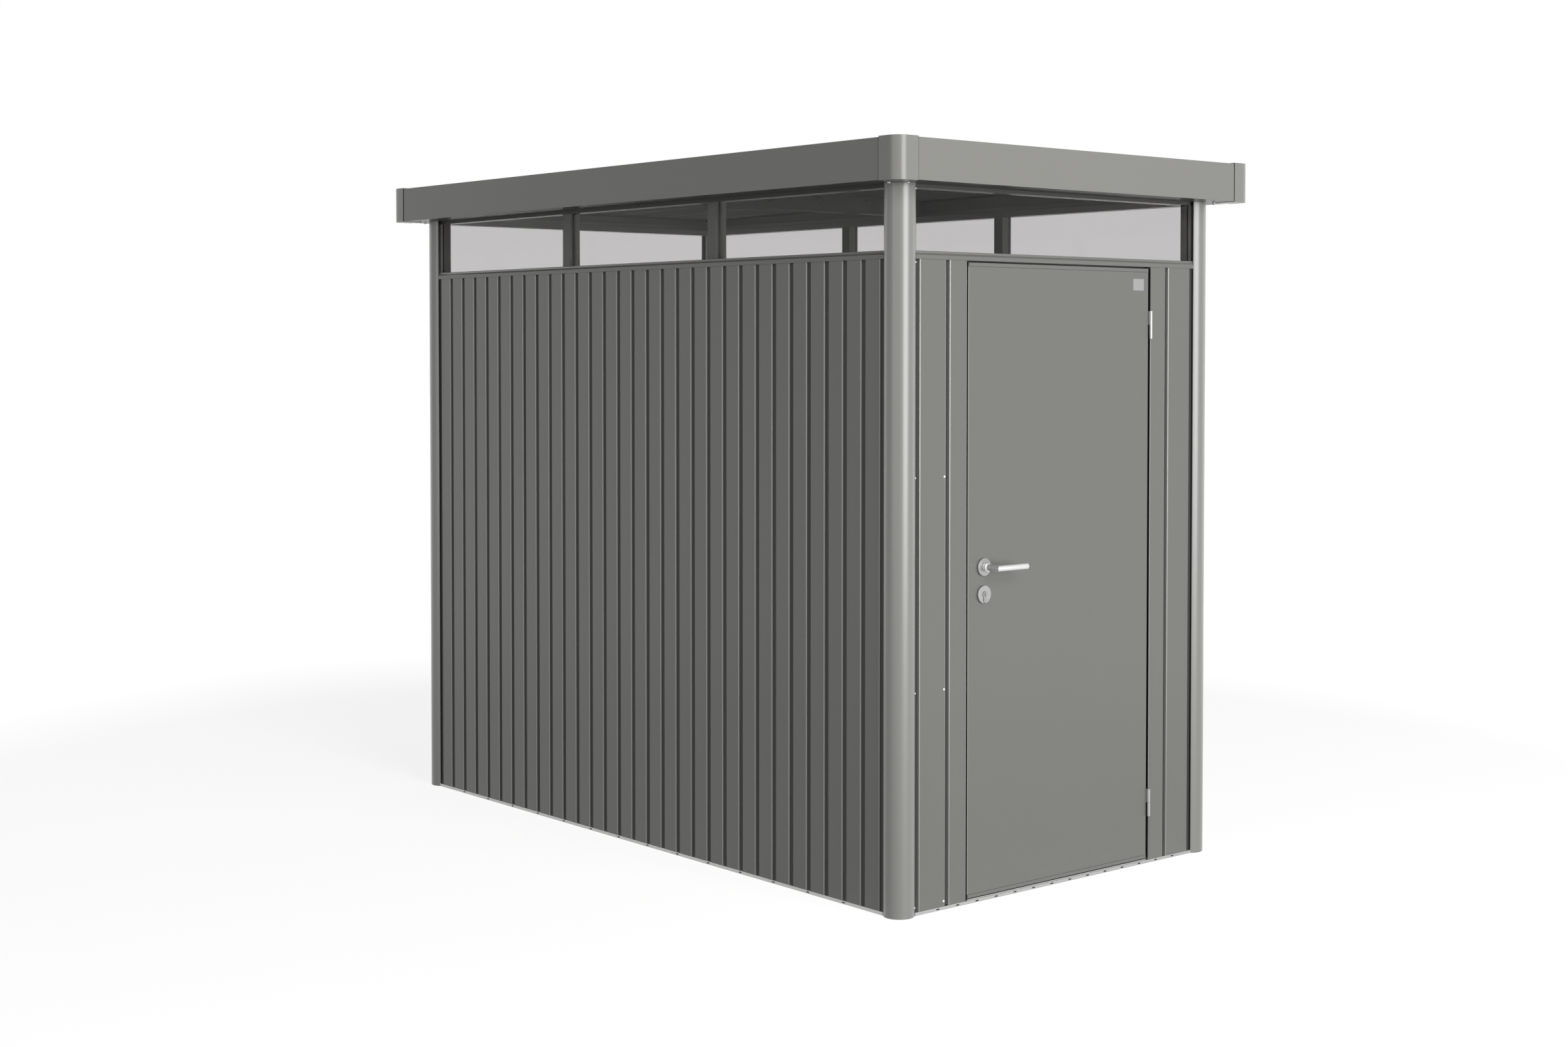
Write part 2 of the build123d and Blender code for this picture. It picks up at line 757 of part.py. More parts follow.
def lever(face, outward):
    """Round tube lever: out from a face, a mitred corner, then along +X."""
    start = face + outward * 2.0
    run = face + outward * LEVER_OUT
    line = Polyline((LEVER_X, start, LEVER_Z), (LEVER_X, run, LEVER_Z))
    line += Line((LEVER_X, run, LEVER_Z), (LEVER_X + LEVER_REACH, run, LEVER_Z))
    plane = Plane(origin=(LEVER_X, start, LEVER_Z), x_dir=(1, 0, 0), z_dir=(0, outward, 0))
    tube = sweep(plane * Circle(LEVER_RADIUS), path=line, transition=Transition.RIGHT)
    near = face + outward * (ROSE_THICK + COLLAR_GAP)
    far = near + outward * COLLAR_LENGTH
    return tube + rod(LEVER_X, LEVER_Z, COLLAR_RADIUS, (min(near, far), max(near, far)))


def levers():
    half = SPINDLE / 2
    spindle = box(
        (LEVER_X - half, LEVER_X + half), (FACE_Y - 34, BACK_Y + 3), (LEVER_Z - half, LEVER_Z + half)
    )
    add("lever_outer", lever(FACE_Y, -1) - spindle)
    add("lever_inner", lever(BACK_Y, 1) + spindle)


def bare_plate():
    right = DOOR_RIGHT - PLATE_IN
    top = DOOR_TOP - PLATE_DROP
    x = (right - PLATE_WIDTH, right)
    add("door_plate", box(x, (FACE_Y - PLATE_THICK, FACE_Y), (top - PLATE_HEIGHT, top)))


# Hinges
def leaf_tab(bottom, top):
    return box(
        (DOOR_RIGHT - HINGE_TAB, DOOR_RIGHT), (FACE_Y - HINGE_OUT, FACE_Y + HINGE_TAB_DEPTH), (bottom, top)
    )


def frame_tab(bottom, top):
    return box(
        (REVEAL, REVEAL + HINGE_TAB), (FACE_Y - HINGE_OUT, FACE_Y + HINGE_TAB_DEPTH), (bottom, top)
    )


def hinge_spans(bottom):
    middle = bottom + HINGE_LENGTH / 2
    frame_half = (bottom, middle - KNUCKLE_GAP / 2)
    leaf_half = (middle + KNUCKLE_GAP / 2, bottom + HINGE_LENGTH)
    return frame_half, leaf_half


def leaf_tab_pockets():
    return [leaf_tab(*hinge_spans(bottom)[1]) for bottom in HINGE_BOTTOMS]


def frame_tab_pockets():
    return [frame_tab(*hinge_spans(bottom)[0]) for bottom in HINGE_BOTTOMS]


def knuckle(span, radius=KNUCKLE_RADIUS):
    axis_y = FACE_Y - HINGE_OUT
    height = span[1] - span[0]
    return Pos(HINGE_X, axis_y, span[0]) * Cylinder(
        radius, height, align=(Align.CENTER, Align.CENTER, Align.MIN)
    )


def hinges():
    frame_halves = []
    leaf_halves = []
    for bottom in HINGE_BOTTOMS:
        frame_span, leaf_span = hinge_spans(bottom)
        pin_top = leaf_span[0] + PIN_REACH
        frame_half = knuckle(frame_span) + frame_tab(*frame_span)
        frame_half += knuckle((frame_span[1] - 1, pin_top), PIN_RADIUS)
        leaf_half = knuckle(leaf_span) + leaf_tab(*leaf_span)
        bore = PIN_RADIUS + PIN_CLEARANCE
        leaf_half -= knuckle((leaf_span[0] - 1, pin_top + 2), bore)
        frame_halves.append(frame_half)
        leaf_halves.append(leaf_half)
    add("hinge_frame_halves", Compound(children=frame_halves))
    add("hinge_leaf_halves", Compound(children=leaf_halves))


base_frame()
corner_posts()
walls()
sill_rails()
head_beams()
mullions()
glass()
roof_sheet()
cross_beam()
fascias()
corner_caps()
door_frame()
door_leaf()
stiffeners()
lock()
lock_plates()
levers()
bare_plate()
hinges()

os.makedirs("parts", exist_ok=True)
for name, shape in parts.items():
    export_step(shape, "parts/" + name + ".step")
    print(name, len(shape.solids()), round(sum(s.volume for s in shape.solids()) / 1e6, 3))
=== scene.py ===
"""Looks of a metal tool shed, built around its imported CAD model. Metres, Z up, door facing -Y."""
import json
import math

import bmesh
import bpy
from mathutils import Matrix, Vector

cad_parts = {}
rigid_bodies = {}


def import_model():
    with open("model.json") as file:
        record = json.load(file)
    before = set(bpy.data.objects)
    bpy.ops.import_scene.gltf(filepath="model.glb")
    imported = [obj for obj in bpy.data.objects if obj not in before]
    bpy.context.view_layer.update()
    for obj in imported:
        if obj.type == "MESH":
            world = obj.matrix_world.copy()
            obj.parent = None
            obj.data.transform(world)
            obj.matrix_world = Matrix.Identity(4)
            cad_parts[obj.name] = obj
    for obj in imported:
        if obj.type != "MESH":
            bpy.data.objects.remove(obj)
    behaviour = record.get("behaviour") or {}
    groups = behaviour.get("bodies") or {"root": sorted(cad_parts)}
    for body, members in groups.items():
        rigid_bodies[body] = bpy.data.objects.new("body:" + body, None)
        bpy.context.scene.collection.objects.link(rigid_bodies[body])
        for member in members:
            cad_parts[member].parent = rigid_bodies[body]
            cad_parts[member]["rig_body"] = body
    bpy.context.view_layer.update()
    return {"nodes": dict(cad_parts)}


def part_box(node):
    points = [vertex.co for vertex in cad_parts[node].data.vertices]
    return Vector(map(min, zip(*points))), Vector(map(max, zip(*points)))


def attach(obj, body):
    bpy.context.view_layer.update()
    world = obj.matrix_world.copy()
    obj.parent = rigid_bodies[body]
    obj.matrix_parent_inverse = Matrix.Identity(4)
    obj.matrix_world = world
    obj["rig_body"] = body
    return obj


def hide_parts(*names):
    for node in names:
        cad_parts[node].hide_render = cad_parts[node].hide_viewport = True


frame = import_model()
nodes = frame["nodes"]

MM = 0.001

# Places read from the CAD pieces
GLASS_LOW, GLASS_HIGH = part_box("window_glass_front")
LEAF_LOW, LEAF_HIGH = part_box("door_leaf")
CYLINDER_LOW, CYLINDER_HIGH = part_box("lock_cylinder")
CAP_LOW, CAP_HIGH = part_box("fascia_corner_caps")
BEAM_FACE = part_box("roof_cross_beam")[0].y
FASCIA_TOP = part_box("fascia_front")[1].z
SILL_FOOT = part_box("sill_rail_front")[0].z
FRONT_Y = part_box("front_wall_left")[0].y
BACK_Y = -FRONT_Y
WALL_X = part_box("right_wall")[1].x

# Sizes that the pieces added here share with the CAD
BASE_TOP = 10.0 * MM
SHEET_DEPTH = 1.2 * MM
GROOVE_DEPTH = 7.0 * MM
POST_RADIUS = 45.6 * MM
POST_CENTRE_IN = 32.7 * MM
CORE_SETBACK = 14.0 * MM
CAP_LEG = 78.0 * MM
CAP_SHEET = 1.5 * MM
LOCK_GAP = 6.0 * MM
KEY_ROUND = 8.5 * MM
KEY_LEG_HALF = 5.0 * MM
KEY_LEG_DROP = 19.5 * MM
CYLINDER_PROUD = 1.0 * MM


# Mesh helpers

SMOOTH_ANGLE = 35.0
RIM_ANGLE = 30.0
RIM_SEGMENTS = 2
TURNED_SEGMENTS = 32
MERGE_DISTANCE = 0.01 * MM
FLAT_ANGLE = 0.6


def finished(name, mesh_maker, material, body, smooth_angle=SMOOTH_ANGLE, others=()):
    """Object from a bmesh, smooth but for its sharp edges, with its finish and its body."""
    mesh = bpy.data.meshes.new(name)
    bmesh.ops.recalc_face_normals(mesh_maker, faces=mesh_maker.faces)
    mesh_maker.to_mesh(mesh)
    mesh_maker.free()
    mesh.polygons.foreach_set("use_smooth", [True] * len(mesh.polygons))
    mesh.set_sharp_from_angle(angle=math.radians(smooth_angle))
    for finish in (material, *others):
        mesh.materials.append(finish)
    piece = bpy.data.objects.new(name, mesh)
    bpy.context.scene.collection.objects.link(piece)
    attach(piece, body)
    return piece


def add_block(maker, low, high):
    """Six-sided block between two corners."""
    low, high = Vector(low), Vector(high)
    shift = Matrix.Translation((low + high) / 2)
    stretch = Matrix.Diagonal((*(high - low), 1.0))
    bmesh.ops.create_cube(maker, size=1.0, matrix=shift @ stretch)


def add_walls(maker, first, second):
    """Faces between two closed rings of as many points."""
    for i in range(len(first)):
        j = (i + 1) % len(first)
        maker.faces.new((first[i], first[j], second[j], second[i]))


def add_turned(maker, profile, at, axis, segments=TURNED_SEGMENTS):
    """Solid turned from (radius, height) points; height runs from at along axis."""
    turn = Vector((0, 0, 1)).rotation_difference(Vector(axis)).to_matrix().to_4x4()
    stand = Matrix.Translation(Vector(at)) @ turn
    rings = []
    for radius, height in profile:
        ring = []
        for step in range(segments):
            angle = 2 * math.pi * step / segments
            point = Vector((radius * math.cos(angle), radius * math.sin(angle), height))
            ring.append(maker.verts.new(stand @ point))
        rings.append(ring)
    for lower, upper in zip(rings, rings[1:]):
        add_walls(maker, lower, upper)
    maker.faces.new(rings[0][::-1])
    maker.faces.new(rings[-1])


def rounded(piece, width, segments=RIM_SEGMENTS, angle=RIM_ANGLE):
    """Bevelled rims, with the flat faces kept flat."""
    bevel = piece.modifiers.new("rounded rims", "BEVEL")
    bevel.width = width
    bevel.segments = segments
    bevel.limit_method = "ANGLE"
    bevel.angle_limit = math.radians(angle)
    bevel.use_clamp_overlap = True
    bevel.harden_normals = True
    return piece


def dressed(node, material, width, segments=RIM_SEGMENTS, angle=RIM_ANGLE, shape=None, others=()):
    """The CAD node's own form with its bends and rims rounded; it stands for the node."""
    source = nodes[node]
    maker = bmesh.new()
    maker.from_mesh(source.data)
    bmesh.ops.remove_doubles(maker, verts=maker.verts, dist=MERGE_DISTANCE)
    bmesh.ops.dissolve_limit(
        maker,
        angle_limit=math.radians(FLAT_ANGLE),
        verts=maker.verts,
        edges=maker.edges,
        use_dissolve_boundaries=False,
    )
    if shape:
        shape(maker)
    piece = finished(node + "_finished", maker, material, source["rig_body"], angle, others)
    rounded(piece, width, segments, angle)
    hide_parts(node)
    return piece


def coated(node, material):
    """The CAD node as it is, with its finish."""
    nodes[node].data.materials.clear()
    nodes[node].data.materials.append(material)


# Changes of form and finish on single faces

# Width and drop of the slope at a bend
SHORT_WALL_BEND = (2.4 * MM, 1.1 * MM)
LONG_WALL_BEND = (2.2 * MM, 1.8 * MM)
UPRIGHT_LENGTH = 0.5
ON_FACE = 0.01 * MM
BEND_SLACK = 0.3 * MM
SHEET_SLACK = 0.1 * MM
SIDE_SLACK = 0.5 * MM
BEHIND_BEND = 0.1 * MM
# A normal's part along the wall's own direction
BOTTOM_FACING = 0.98
SLOPE_FACING = 0.6
SIDE_FACING = 0.5
# Places of the groove's finishes behind the wall's own one: painted shade on the groove bottoms, painted
# highlight on the bend slopes, then the sides' finish
SHADED_BOTTOM_INDEX, HIGHLIGHT_SLOPE_INDEX, SIDE_INDEX = 1, 2, 3


def crease_bends(maker, axis, face, width, drop):
    """Slope along each upright bend at the outer face of a grooved sheet; the groove bottoms, the slopes
    and the sides get their own finishes, painted shade and painted highlight.
    """
    inward = -1.0 if face > 0 else 1.0
    bends = []
    for edge in maker.edges:
        foot, head = (vert.co for vert in edge.verts)
        upright = abs(foot.z - head.z) > UPRIGHT_LENGTH
        outer = all(abs(point[axis] - face) < ON_FACE for point in (foot, head))
        if upright and outer:
            bends.append(edge)
    bmesh.ops.bevel(
        maker,
        geom=bends,
        offset=width,
        offset_type="OFFSET",
        segments=1,
        affect="EDGES",
        clamp_overlap=False,
    )
    for vert in maker.verts:
        depth = (vert.co[axis] - face) * inward
        if abs(depth - width) < BEND_SLACK:
            vert.co[axis] = face + inward * drop
        elif abs(depth - SHEET_DEPTH) < SHEET_SLACK:
            vert.co[axis] = face + inward * (drop + BEHIND_BEND)
    maker.normal_update()
    for surface in maker.faces:
        depth = (surface.calc_center_median()[axis] - face) * inward
        facing = -surface.normal[axis] * inward
        if abs(depth - GROOVE_DEPTH) < BEND_SLACK and facing > BOTTOM_FACING:
            surface.material_index = SHADED_BOTTOM_INDEX
        elif abs(depth - drop / 2) < BEND_SLACK and SLOPE_FACING < facing < BOTTOM_FACING:
            surface.material_index = HIGHLIGHT_SLOPE_INDEX
        elif abs(depth - (drop + GROOVE_DEPTH) / 2) < SIDE_SLACK and abs(facing) < SIDE_FACING:
            surface.material_index = SIDE_INDEX


INNER_FACING = 0.7


def inner_side(maker):
    """Faces of a head beam that look into the shed or down take the second, lighter finish, painted light
    on its ledges; the rest keeps the dark first finish, painted shade under the roof.
    """
    maker.normal_update()
    for surface in maker.faces:
        centre = surface.calc_center_median()
        across = 1 if abs(centre.y) > max(abs(centre.x), WALL_X) else 0
        facing = surface.normal[across] * (1 if centre[across] < 0 else -1)
        if facing > INNER_FACING or surface.normal.z < -INNER_FACING:
            surface.material_index = 1


SLANT_FACING = 0.5


def bright_front_edges(maker):
    """The leaf's narrow slanted edges take the second finish, a painted highlight."""
    maker.normal_update()
    for surface in maker.faces:
        if surface.normal.y < -SLANT_FACING and abs(surface.normal.x) > SLANT_FACING:
            surface.material_index = 1


# Shader helpers

NOISE_MIDDLE = 0.5
WHITE = (1, 1, 1, 1)


def new_group(name, inputs, outputs):
    """Shader group with named sockets; inputs are (name, kind, default)."""
    group = bpy.data.node_groups.new(name, "ShaderNodeTree")
    for label, kind, default in inputs:
        socket = group.interface.new_socket(label, in_out="INPUT", socket_type=kind)
        socket.default_value = default
    for label, kind in outputs:
        group.interface.new_socket(label, in_out="OUTPUT", socket_type=kind)
    start = group.nodes.new("NodeGroupInput")
    end = group.nodes.new("NodeGroupOutput")
    return group, start, end


def fill(tree, socket, value):
    """A plain value on a socket, or a link to it."""
    if isinstance(value, (int, float, tuple)):
        socket.default_value = value
    else:
        tree.links.new(value, socket)


def noise(tree, coordinates, scale, detail=3.0, roughness=0.55):
    """Noise from 0 to 1."""
    node = tree.nodes.new("ShaderNodeTexNoise")
    node.inputs["Detail"].default_value = detail
    node.inputs["Roughness"].default_value = roughness
    node.inputs["Scale"].default_value = scale
    tree.links.new(coordinates, node.inputs["Vector"])
    return node.outputs["Fac"]


def calculated(tree, operation, first, second):
    """Result of a math operation on two values or sockets."""
    node = tree.nodes.new("ShaderNodeMath")
    node.operation = operation
    for socket, value in zip(node.inputs, (first, second)):
        fill(tree, socket, value)
    return node.outputs[0]


def swing(tree, spread, amount):
    """Noise about zero, times an amount."""
    return calculated(tree, "MULTIPLY", calculated(tree, "SUBTRACT", spread, NOISE_MIDDLE), amount)


def remap(tree, value, low, high, to_low, to_high):
    """Value moved from one range to another and kept inside it."""
    node = tree.nodes.new("ShaderNodeMapRange")
    for label, number in (("From Min", low), ("From Max", high), ("To Min", to_low), ("To Max", to_high)):
        fill(tree, node.inputs[label], number)
    tree.links.new(value, node.inputs["Value"])
    return node.outputs["Result"]


def mixed(tree, factor, first, second):
    """Two colours mixed."""
    node = tree.nodes.new("ShaderNodeMix")
    node.data_type = "RGBA"
    tree.links.new(factor, node.inputs["Factor"])
    for label, value in (("A", first), ("B", second)):
        fill(tree, next(s for s in node.inputs if s.name == label and s.type == "RGBA"), value)
    return next(s for s in node.outputs if s.type == "RGBA")


def scaled_colour(tree, colour, amount):
    """Colour multiplied by an amount."""
    node = tree.nodes.new("ShaderNodeVectorMath")
    node.operation = "SCALE"
    tree.links.new(colour, node.inputs[0])
    tree.links.new(amount, node.inputs["Scale"])
    return node.outputs[0]


def object_coordinates(tree):
    return tree.nodes.new("ShaderNodeTexCoord").outputs["Object"]


def height_of(tree, vector):
    """Z of a normal or a place."""
    split = tree.nodes.new("ShaderNodeSeparateXYZ")
    tree.links.new(vector, split.inputs[0])
    return split.outputs["Z"]


def surface_normal(tree):
    return tree.nodes.new("ShaderNodeNewGeometry").outputs["Normal"]


DOWNWARD = (-0.4, -0.9)
CLOUD_SCALE = 5.0
FLAKE_SCALE = 900.0
PEEL_SCALE = 260.0
UNDERSIDE_DULLING = 0.6


def coat_grain_group():
    """Coil coating: cloudy tone, fine flake, a faint orange peel, and faces that look down made darker as
    painted shade and duller.
    """
    group, start, end = new_group(
        "coat grain",
        [
            ("Color", "NodeSocketColor", (0.2, 0.2, 0.2, 1)),
            ("Cloud", "NodeSocketFloat", 0.03),
            ("Flake", "NodeSocketFloat", 0.05),
            ("Roughness", "NodeSocketFloat", 0.4),
            ("Roughness spread", "NodeSocketFloat", 0.04),
            ("Underside", "NodeSocketFloat", 0.7),
        ],
        [("Color", "NodeSocketColor"), ("Roughness", "NodeSocketFloat"), ("Height", "NodeSocketFloat")],
    )
    # Painted shade: faces that look down are darkened by the given amount, and made rougher too.
    downward = remap(group, height_of(group, surface_normal(group)), *DOWNWARD, 0.0, 1.0)
    under = calculated(group, "MULTIPLY", downward, start.outputs["Underside"])
    where = object_coordinates(group)
    clouds = noise(group, where, CLOUD_SCALE, detail=4.0)
    flakes = noise(group, where, FLAKE_SCALE, detail=1.0)
    peel = noise(group, where, PEEL_SCALE, detail=2.0)
    cloud_shift = swing(group, clouds, start.outputs["Cloud"])
    flake_shift = swing(group, flakes, start.outputs["Flake"])
    tone = calculated(group, "ADD", calculated(group, "ADD", cloud_shift, flake_shift), 1.0)
    tone = calculated(group, "SUBTRACT", tone, under)
    group.links.new(scaled_colour(group, start.outputs["Color"], tone), end.inputs["Color"])
    spread = swing(group, clouds, start.outputs["Roughness spread"])
    rough = calculated(group, "ADD", start.outputs["Roughness"], spread)
    dulling = calculated(group, "MULTIPLY", under, UNDERSIDE_DULLING)
    group.links.new(calculated(group, "ADD", rough, dulling), end.inputs["Roughness"])
    group.links.new(peel, end.inputs["Height"])
    return group


UPWARD = (0.5, 1.0)
GROUND_DUST = 0.5
DUST_PATCH_SCALE = 14.0
DUST_PATCHES = (0.35, 0.75)


def settled_dust_group():
    """Light dust on upward faces and near the ground."""
    group, start, end = new_group(
        "settled dust",
        [
            ("Color", "NodeSocketColor", (0.2, 0.2, 0.2, 1)),
            ("Dust", "NodeSocketColor", (0.45, 0.43, 0.4, 1)),
            ("Amount", "NodeSocketFloat", 0.2),
            ("Ground height", "NodeSocketFloat", 0.15),
        ],
        [("Color", "NodeSocketColor")],
    )
    where = object_coordinates(group)
    upward = remap(group, height_of(group, surface_normal(group)), *UPWARD, 0.0, 1.0)
    rise = height_of(group, where)
    low = remap(group, rise, 0.0, start.outputs["Ground height"], GROUND_DUST, 0.0)
    patches = remap(group, noise(group, where, DUST_PATCH_SCALE, detail=5.0), *DUST_PATCHES, 0.0, 1.0)
    cover = calculated(group, "MAXIMUM", upward, low)
    patchy = calculated(group, "MULTIPLY", cover, patches)
    mask = calculated(group, "MULTIPLY", patchy, start.outputs["Amount"])
    dusty = mixed(group, mask, start.outputs["Color"], start.outputs["Dust"])
    group.links.new(dusty, end.inputs["Color"])
    return group


def long_brush_group():
    """Fine lines of a brushed or drawn metal, along one axis."""
    group, start, end = new_group(
        "long brush",
        [
            ("Color", "NodeSocketColor", (0.6, 0.6, 0.6, 1)),
            ("Grain", "NodeSocketVector", (1.0, 1.0, 1.0)),
            ("Contrast", "NodeSocketFloat", 0.12),
            ("Roughness", "NodeSocketFloat", 0.3),
        ],
        [("Color", "NodeSocketColor"), ("Roughness", "NodeSocketFloat"), ("Height", "NodeSocketFloat")],
    )
    stretch = group.nodes.new("ShaderNodeVectorMath")
    stretch.operation = "MULTIPLY"
    group.links.new(object_coordinates(group), stretch.inputs[0])
    group.links.new(start.outputs["Grain"], stretch.inputs[1])
    lines = noise(group, stretch.outputs[0], 1.0, detail=4.0, roughness=0.7)
    shift = swing(group, lines, start.outputs["Contrast"])
    tone = calculated(group, "ADD", shift, 1.0)
    rough = calculated(group, "ADD", start.outputs["Roughness"], shift)
    group.links.new(scaled_colour(group, start.outputs["Color"], tone), end.inputs["Color"])
    group.links.new(rough, end.inputs["Roughness"])
    group.links.new(lines, end.inputs["Height"])
    return group


COAT_GRAIN = coat_grain_group()
SETTLED_DUST = settled_dust_group()
LONG_BRUSH = long_brush_group()


# Materials

# Strength and depth of the bumps
COAT_BUMP = (0.06, 0.4 * MM)
BRUSH_BUMP = (0.08, 0.3 * MM)
SHADE_BLACK_BUMP = (0.15, 0.3 * MM)
# Weight and roughness of the clear top coat
NO_TOP_COAT = (0.0, 0.3)
THIN_TOP_COAT = (0.2, 0.3)
FASCIA_TOP_COAT = (0.6, 0.24)
TOP_COAT = (0.8, 0.24)
CAP_TOP_COAT = (0.8, 0.22)
FULL_TOP_COAT = (1.0, 0.24)
SHADE_BLACK_GLOSS = 0.1
PANE_DUST = 0.02
GLASS_IOR = 1.2


def blank_material(name):
    material = bpy.data.materials.new(name)
    material.use_nodes = True
    return material, material.node_tree, material.node_tree.nodes["Principled BSDF"]


def place(tree, group, **values):
    """Group node with values on its named sockets."""
    node = tree.nodes.new("ShaderNodeGroup")
    node.node_tree = group
    for label, value in values.items():
        node.inputs[label.replace("_", " ")].default_value = value
    return node


def bump(tree, shader, height, strength, distance):
    node = tree.nodes.new("ShaderNodeBump")
    node.inputs["Strength"].default_value = strength
    node.inputs["Distance"].default_value = distance
    tree.links.new(height, node.inputs["Height"])
    tree.links.new(node.outputs["Normal"], shader.inputs["Normal"])


def painted(name, colour, roughness=0.45, gloss=0.15, dust=0.1, clear=TOP_COAT, underside_shade=0.7):
    """Coated sheet metal; clear is the weight and roughness of the top coat; the underside amount darkens
    the faces that look down, as painted shade.
    """
    material, tree, shader = blank_material(name)
    coat = place(tree, COAT_GRAIN, Color=(*colour, 1), Roughness=roughness, Underside=underside_shade)
    settled = place(tree, SETTLED_DUST, Amount=dust)
    tree.links.new(coat.outputs["Color"], settled.inputs["Color"])
    tree.links.new(settled.outputs["Color"], shader.inputs["Base Color"])
    tree.links.new(coat.outputs["Roughness"], shader.inputs["Roughness"])
    shader.inputs["Specular IOR Level"].default_value = gloss
    shader.inputs["Coat Weight"].default_value = clear[0]
    shader.inputs["Coat Roughness"].default_value = clear[1]
    bump(tree, shader, coat.outputs["Height"], *COAT_BUMP)
    return material


def brushed(name, colour, grain, roughness, contrast=0.12):
    """Bare metal with fine lines along one axis; grain is the density of the lines by axis."""
    material, tree, shader = blank_material(name)
    lines = place(
        tree, LONG_BRUSH, Color=(*colour, 1), Grain=grain, Contrast=contrast, Roughness=roughness
    )
    tree.links.new(lines.outputs["Color"], shader.inputs["Base Color"])
    tree.links.new(lines.outputs["Roughness"], shader.inputs["Roughness"])
    shader.inputs["Metallic"].default_value = 1.0
    bump(tree, shader, lines.outputs["Height"], *BRUSH_BUMP)
    return material


def dull_black(name, colour):
    """Dull black that stands for shade: painted shade in gaps, seams and slots."""
    material, tree, shader = blank_material(name)
    coat = place(tree, COAT_GRAIN, Color=(*colour, 1), Cloud=0.2, Flake=0.2, Roughness=0.75)
    tree.links.new(coat.outputs["Color"], shader.inputs["Base Color"])
    tree.links.new(coat.outputs["Roughness"], shader.inputs["Roughness"])
    shader.inputs["Specular IOR Level"].default_value = SHADE_BLACK_GLOSS
    bump(tree, shader, coat.outputs["Height"], *SHADE_BLACK_BUMP)
    return material


def clear_glass(name, colour):
    """Clear panes; the tint varies a little as dust lies on them."""
    material, tree, shader = blank_material(name)
    settled = place(tree, SETTLED_DUST, Color=(*colour, 1), Amount=PANE_DUST)
    tree.links.new(settled.outputs["Color"], shader.inputs["Base Color"])
    shader.inputs["Roughness"].default_value = 0.0
    shader.inputs["IOR"].default_value = GLASS_IOR
    shader.inputs["Transmission Weight"].default_value = 1.0
    return material


WALL_GREY = (0.2, 0.203, 0.186)
# Lighter than the wall grey as painted light, for the fascia's brighter light from above; the caps and
# the head beams' inner faces take it too.
FASCIA_PAINTED_LIGHT_GREY = (0.292, 0.29, 0.27)
# Lighter than the walls' grey: painted light on the roof's top, where the lamps give little light.
ROOF_PAINTED_LIGHT_GREY = (0.4, 0.406, 0.372)
POST_GREY = (0.262, 0.262, 0.243)
GROOVE_SHADE_GREY = (0.08, 0.081, 0.075)
LONG_GROOVE_SHADE_GREY = (0.16, 0.162, 0.15)
BEND_HIGHLIGHT_GREY = (0.33, 0.332, 0.31)
HEAD_SHADE_GREY = (0.1, 0.101, 0.094)
BEAM_SHADE_GREY = (0.15, 0.151, 0.142)
MULLION_GREY = (0.22, 0.222, 0.208)
ALUMINIUM = (0.46, 0.46, 0.45)
LEVER_TONE = (0.75, 0.75, 0.74)
PLATE_TONE = (0.4, 0.4, 0.395)
NICKEL_TONE = (0.36, 0.355, 0.34)
HINGE_TONE = (0.36, 0.36, 0.352)
SCREW_TONE = (0.8, 0.8, 0.79)
# Black of the strips that stand for shade in gaps, seams and slots: painted shade.
SHADE_BLACK = (0.007, 0.007, 0.007)
GLASS_TINT = (0.728, 0.72, 0.723)

WALL_PAINT = painted("wall coat", WALL_GREY)
DOOR_PAINT = painted("door coat", WALL_GREY)
RAIL_PAINT = painted("rail coat", WALL_GREY)
POST_PAINT = painted("post coat", POST_GREY, roughness=0.4, gloss=0.5, clear=FULL_TOP_COAT)
FASCIA_PAINT = painted("fascia coat", FASCIA_PAINTED_LIGHT_GREY, gloss=0.1, clear=FASCIA_TOP_COAT)
CAP_PAINT = painted("cap coat", FASCIA_PAINTED_LIGHT_GREY, roughness=0.42, clear=CAP_TOP_COAT)
# Lighter coat on the bend slopes, groove sides and leaf edges: painted highlight.
BEND_HIGHLIGHT_PAINT = painted(
    "painted highlight at the bends", BEND_HIGHLIGHT_GREY, roughness=0.4, gloss=0.5, clear=FULL_TOP_COAT
)
# Dark finishes of the groove bottoms: painted shade.
GROOVE_SHADE_PAINT = painted("groove coat", GROOVE_SHADE_GREY, roughness=0.6, gloss=0.05, clear=NO_TOP_COAT)
LONG_GROOVE_SHADE_PAINT = painted(
    "long wall groove coat", LONG_GROOVE_SHADE_GREY, roughness=0.6, clear=NO_TOP_COAT
)
# Head beams: a dark coat as painted shade under the roof, and a lighter inner coat as painted light on
# the ledges.
HEAD_SHADE_PAINT = painted(
    "head beam coat, painted shade", HEAD_SHADE_GREY, roughness=0.55, gloss=0.1, clear=THIN_TOP_COAT, underside_shade=0.55
)
INNER_LIGHT_PAINT = painted("inner coat, painted light", FASCIA_PAINTED_LIGHT_GREY, roughness=0.5, gloss=0.3, underside_shade=0.3)
# Cross beam: a darker coat as painted shade under the roof.
BEAM_SHADE_PAINT = painted(
    "cross beam coat, painted shade", BEAM_SHADE_GREY, roughness=0.55, gloss=0.1, clear=THIN_TOP_COAT, underside_shade=0.6
)
MULLION_PAINT = painted("mullion coat", MULLION_GREY, roughness=0.55, gloss=0.1, clear=THIN_TOP_COAT)
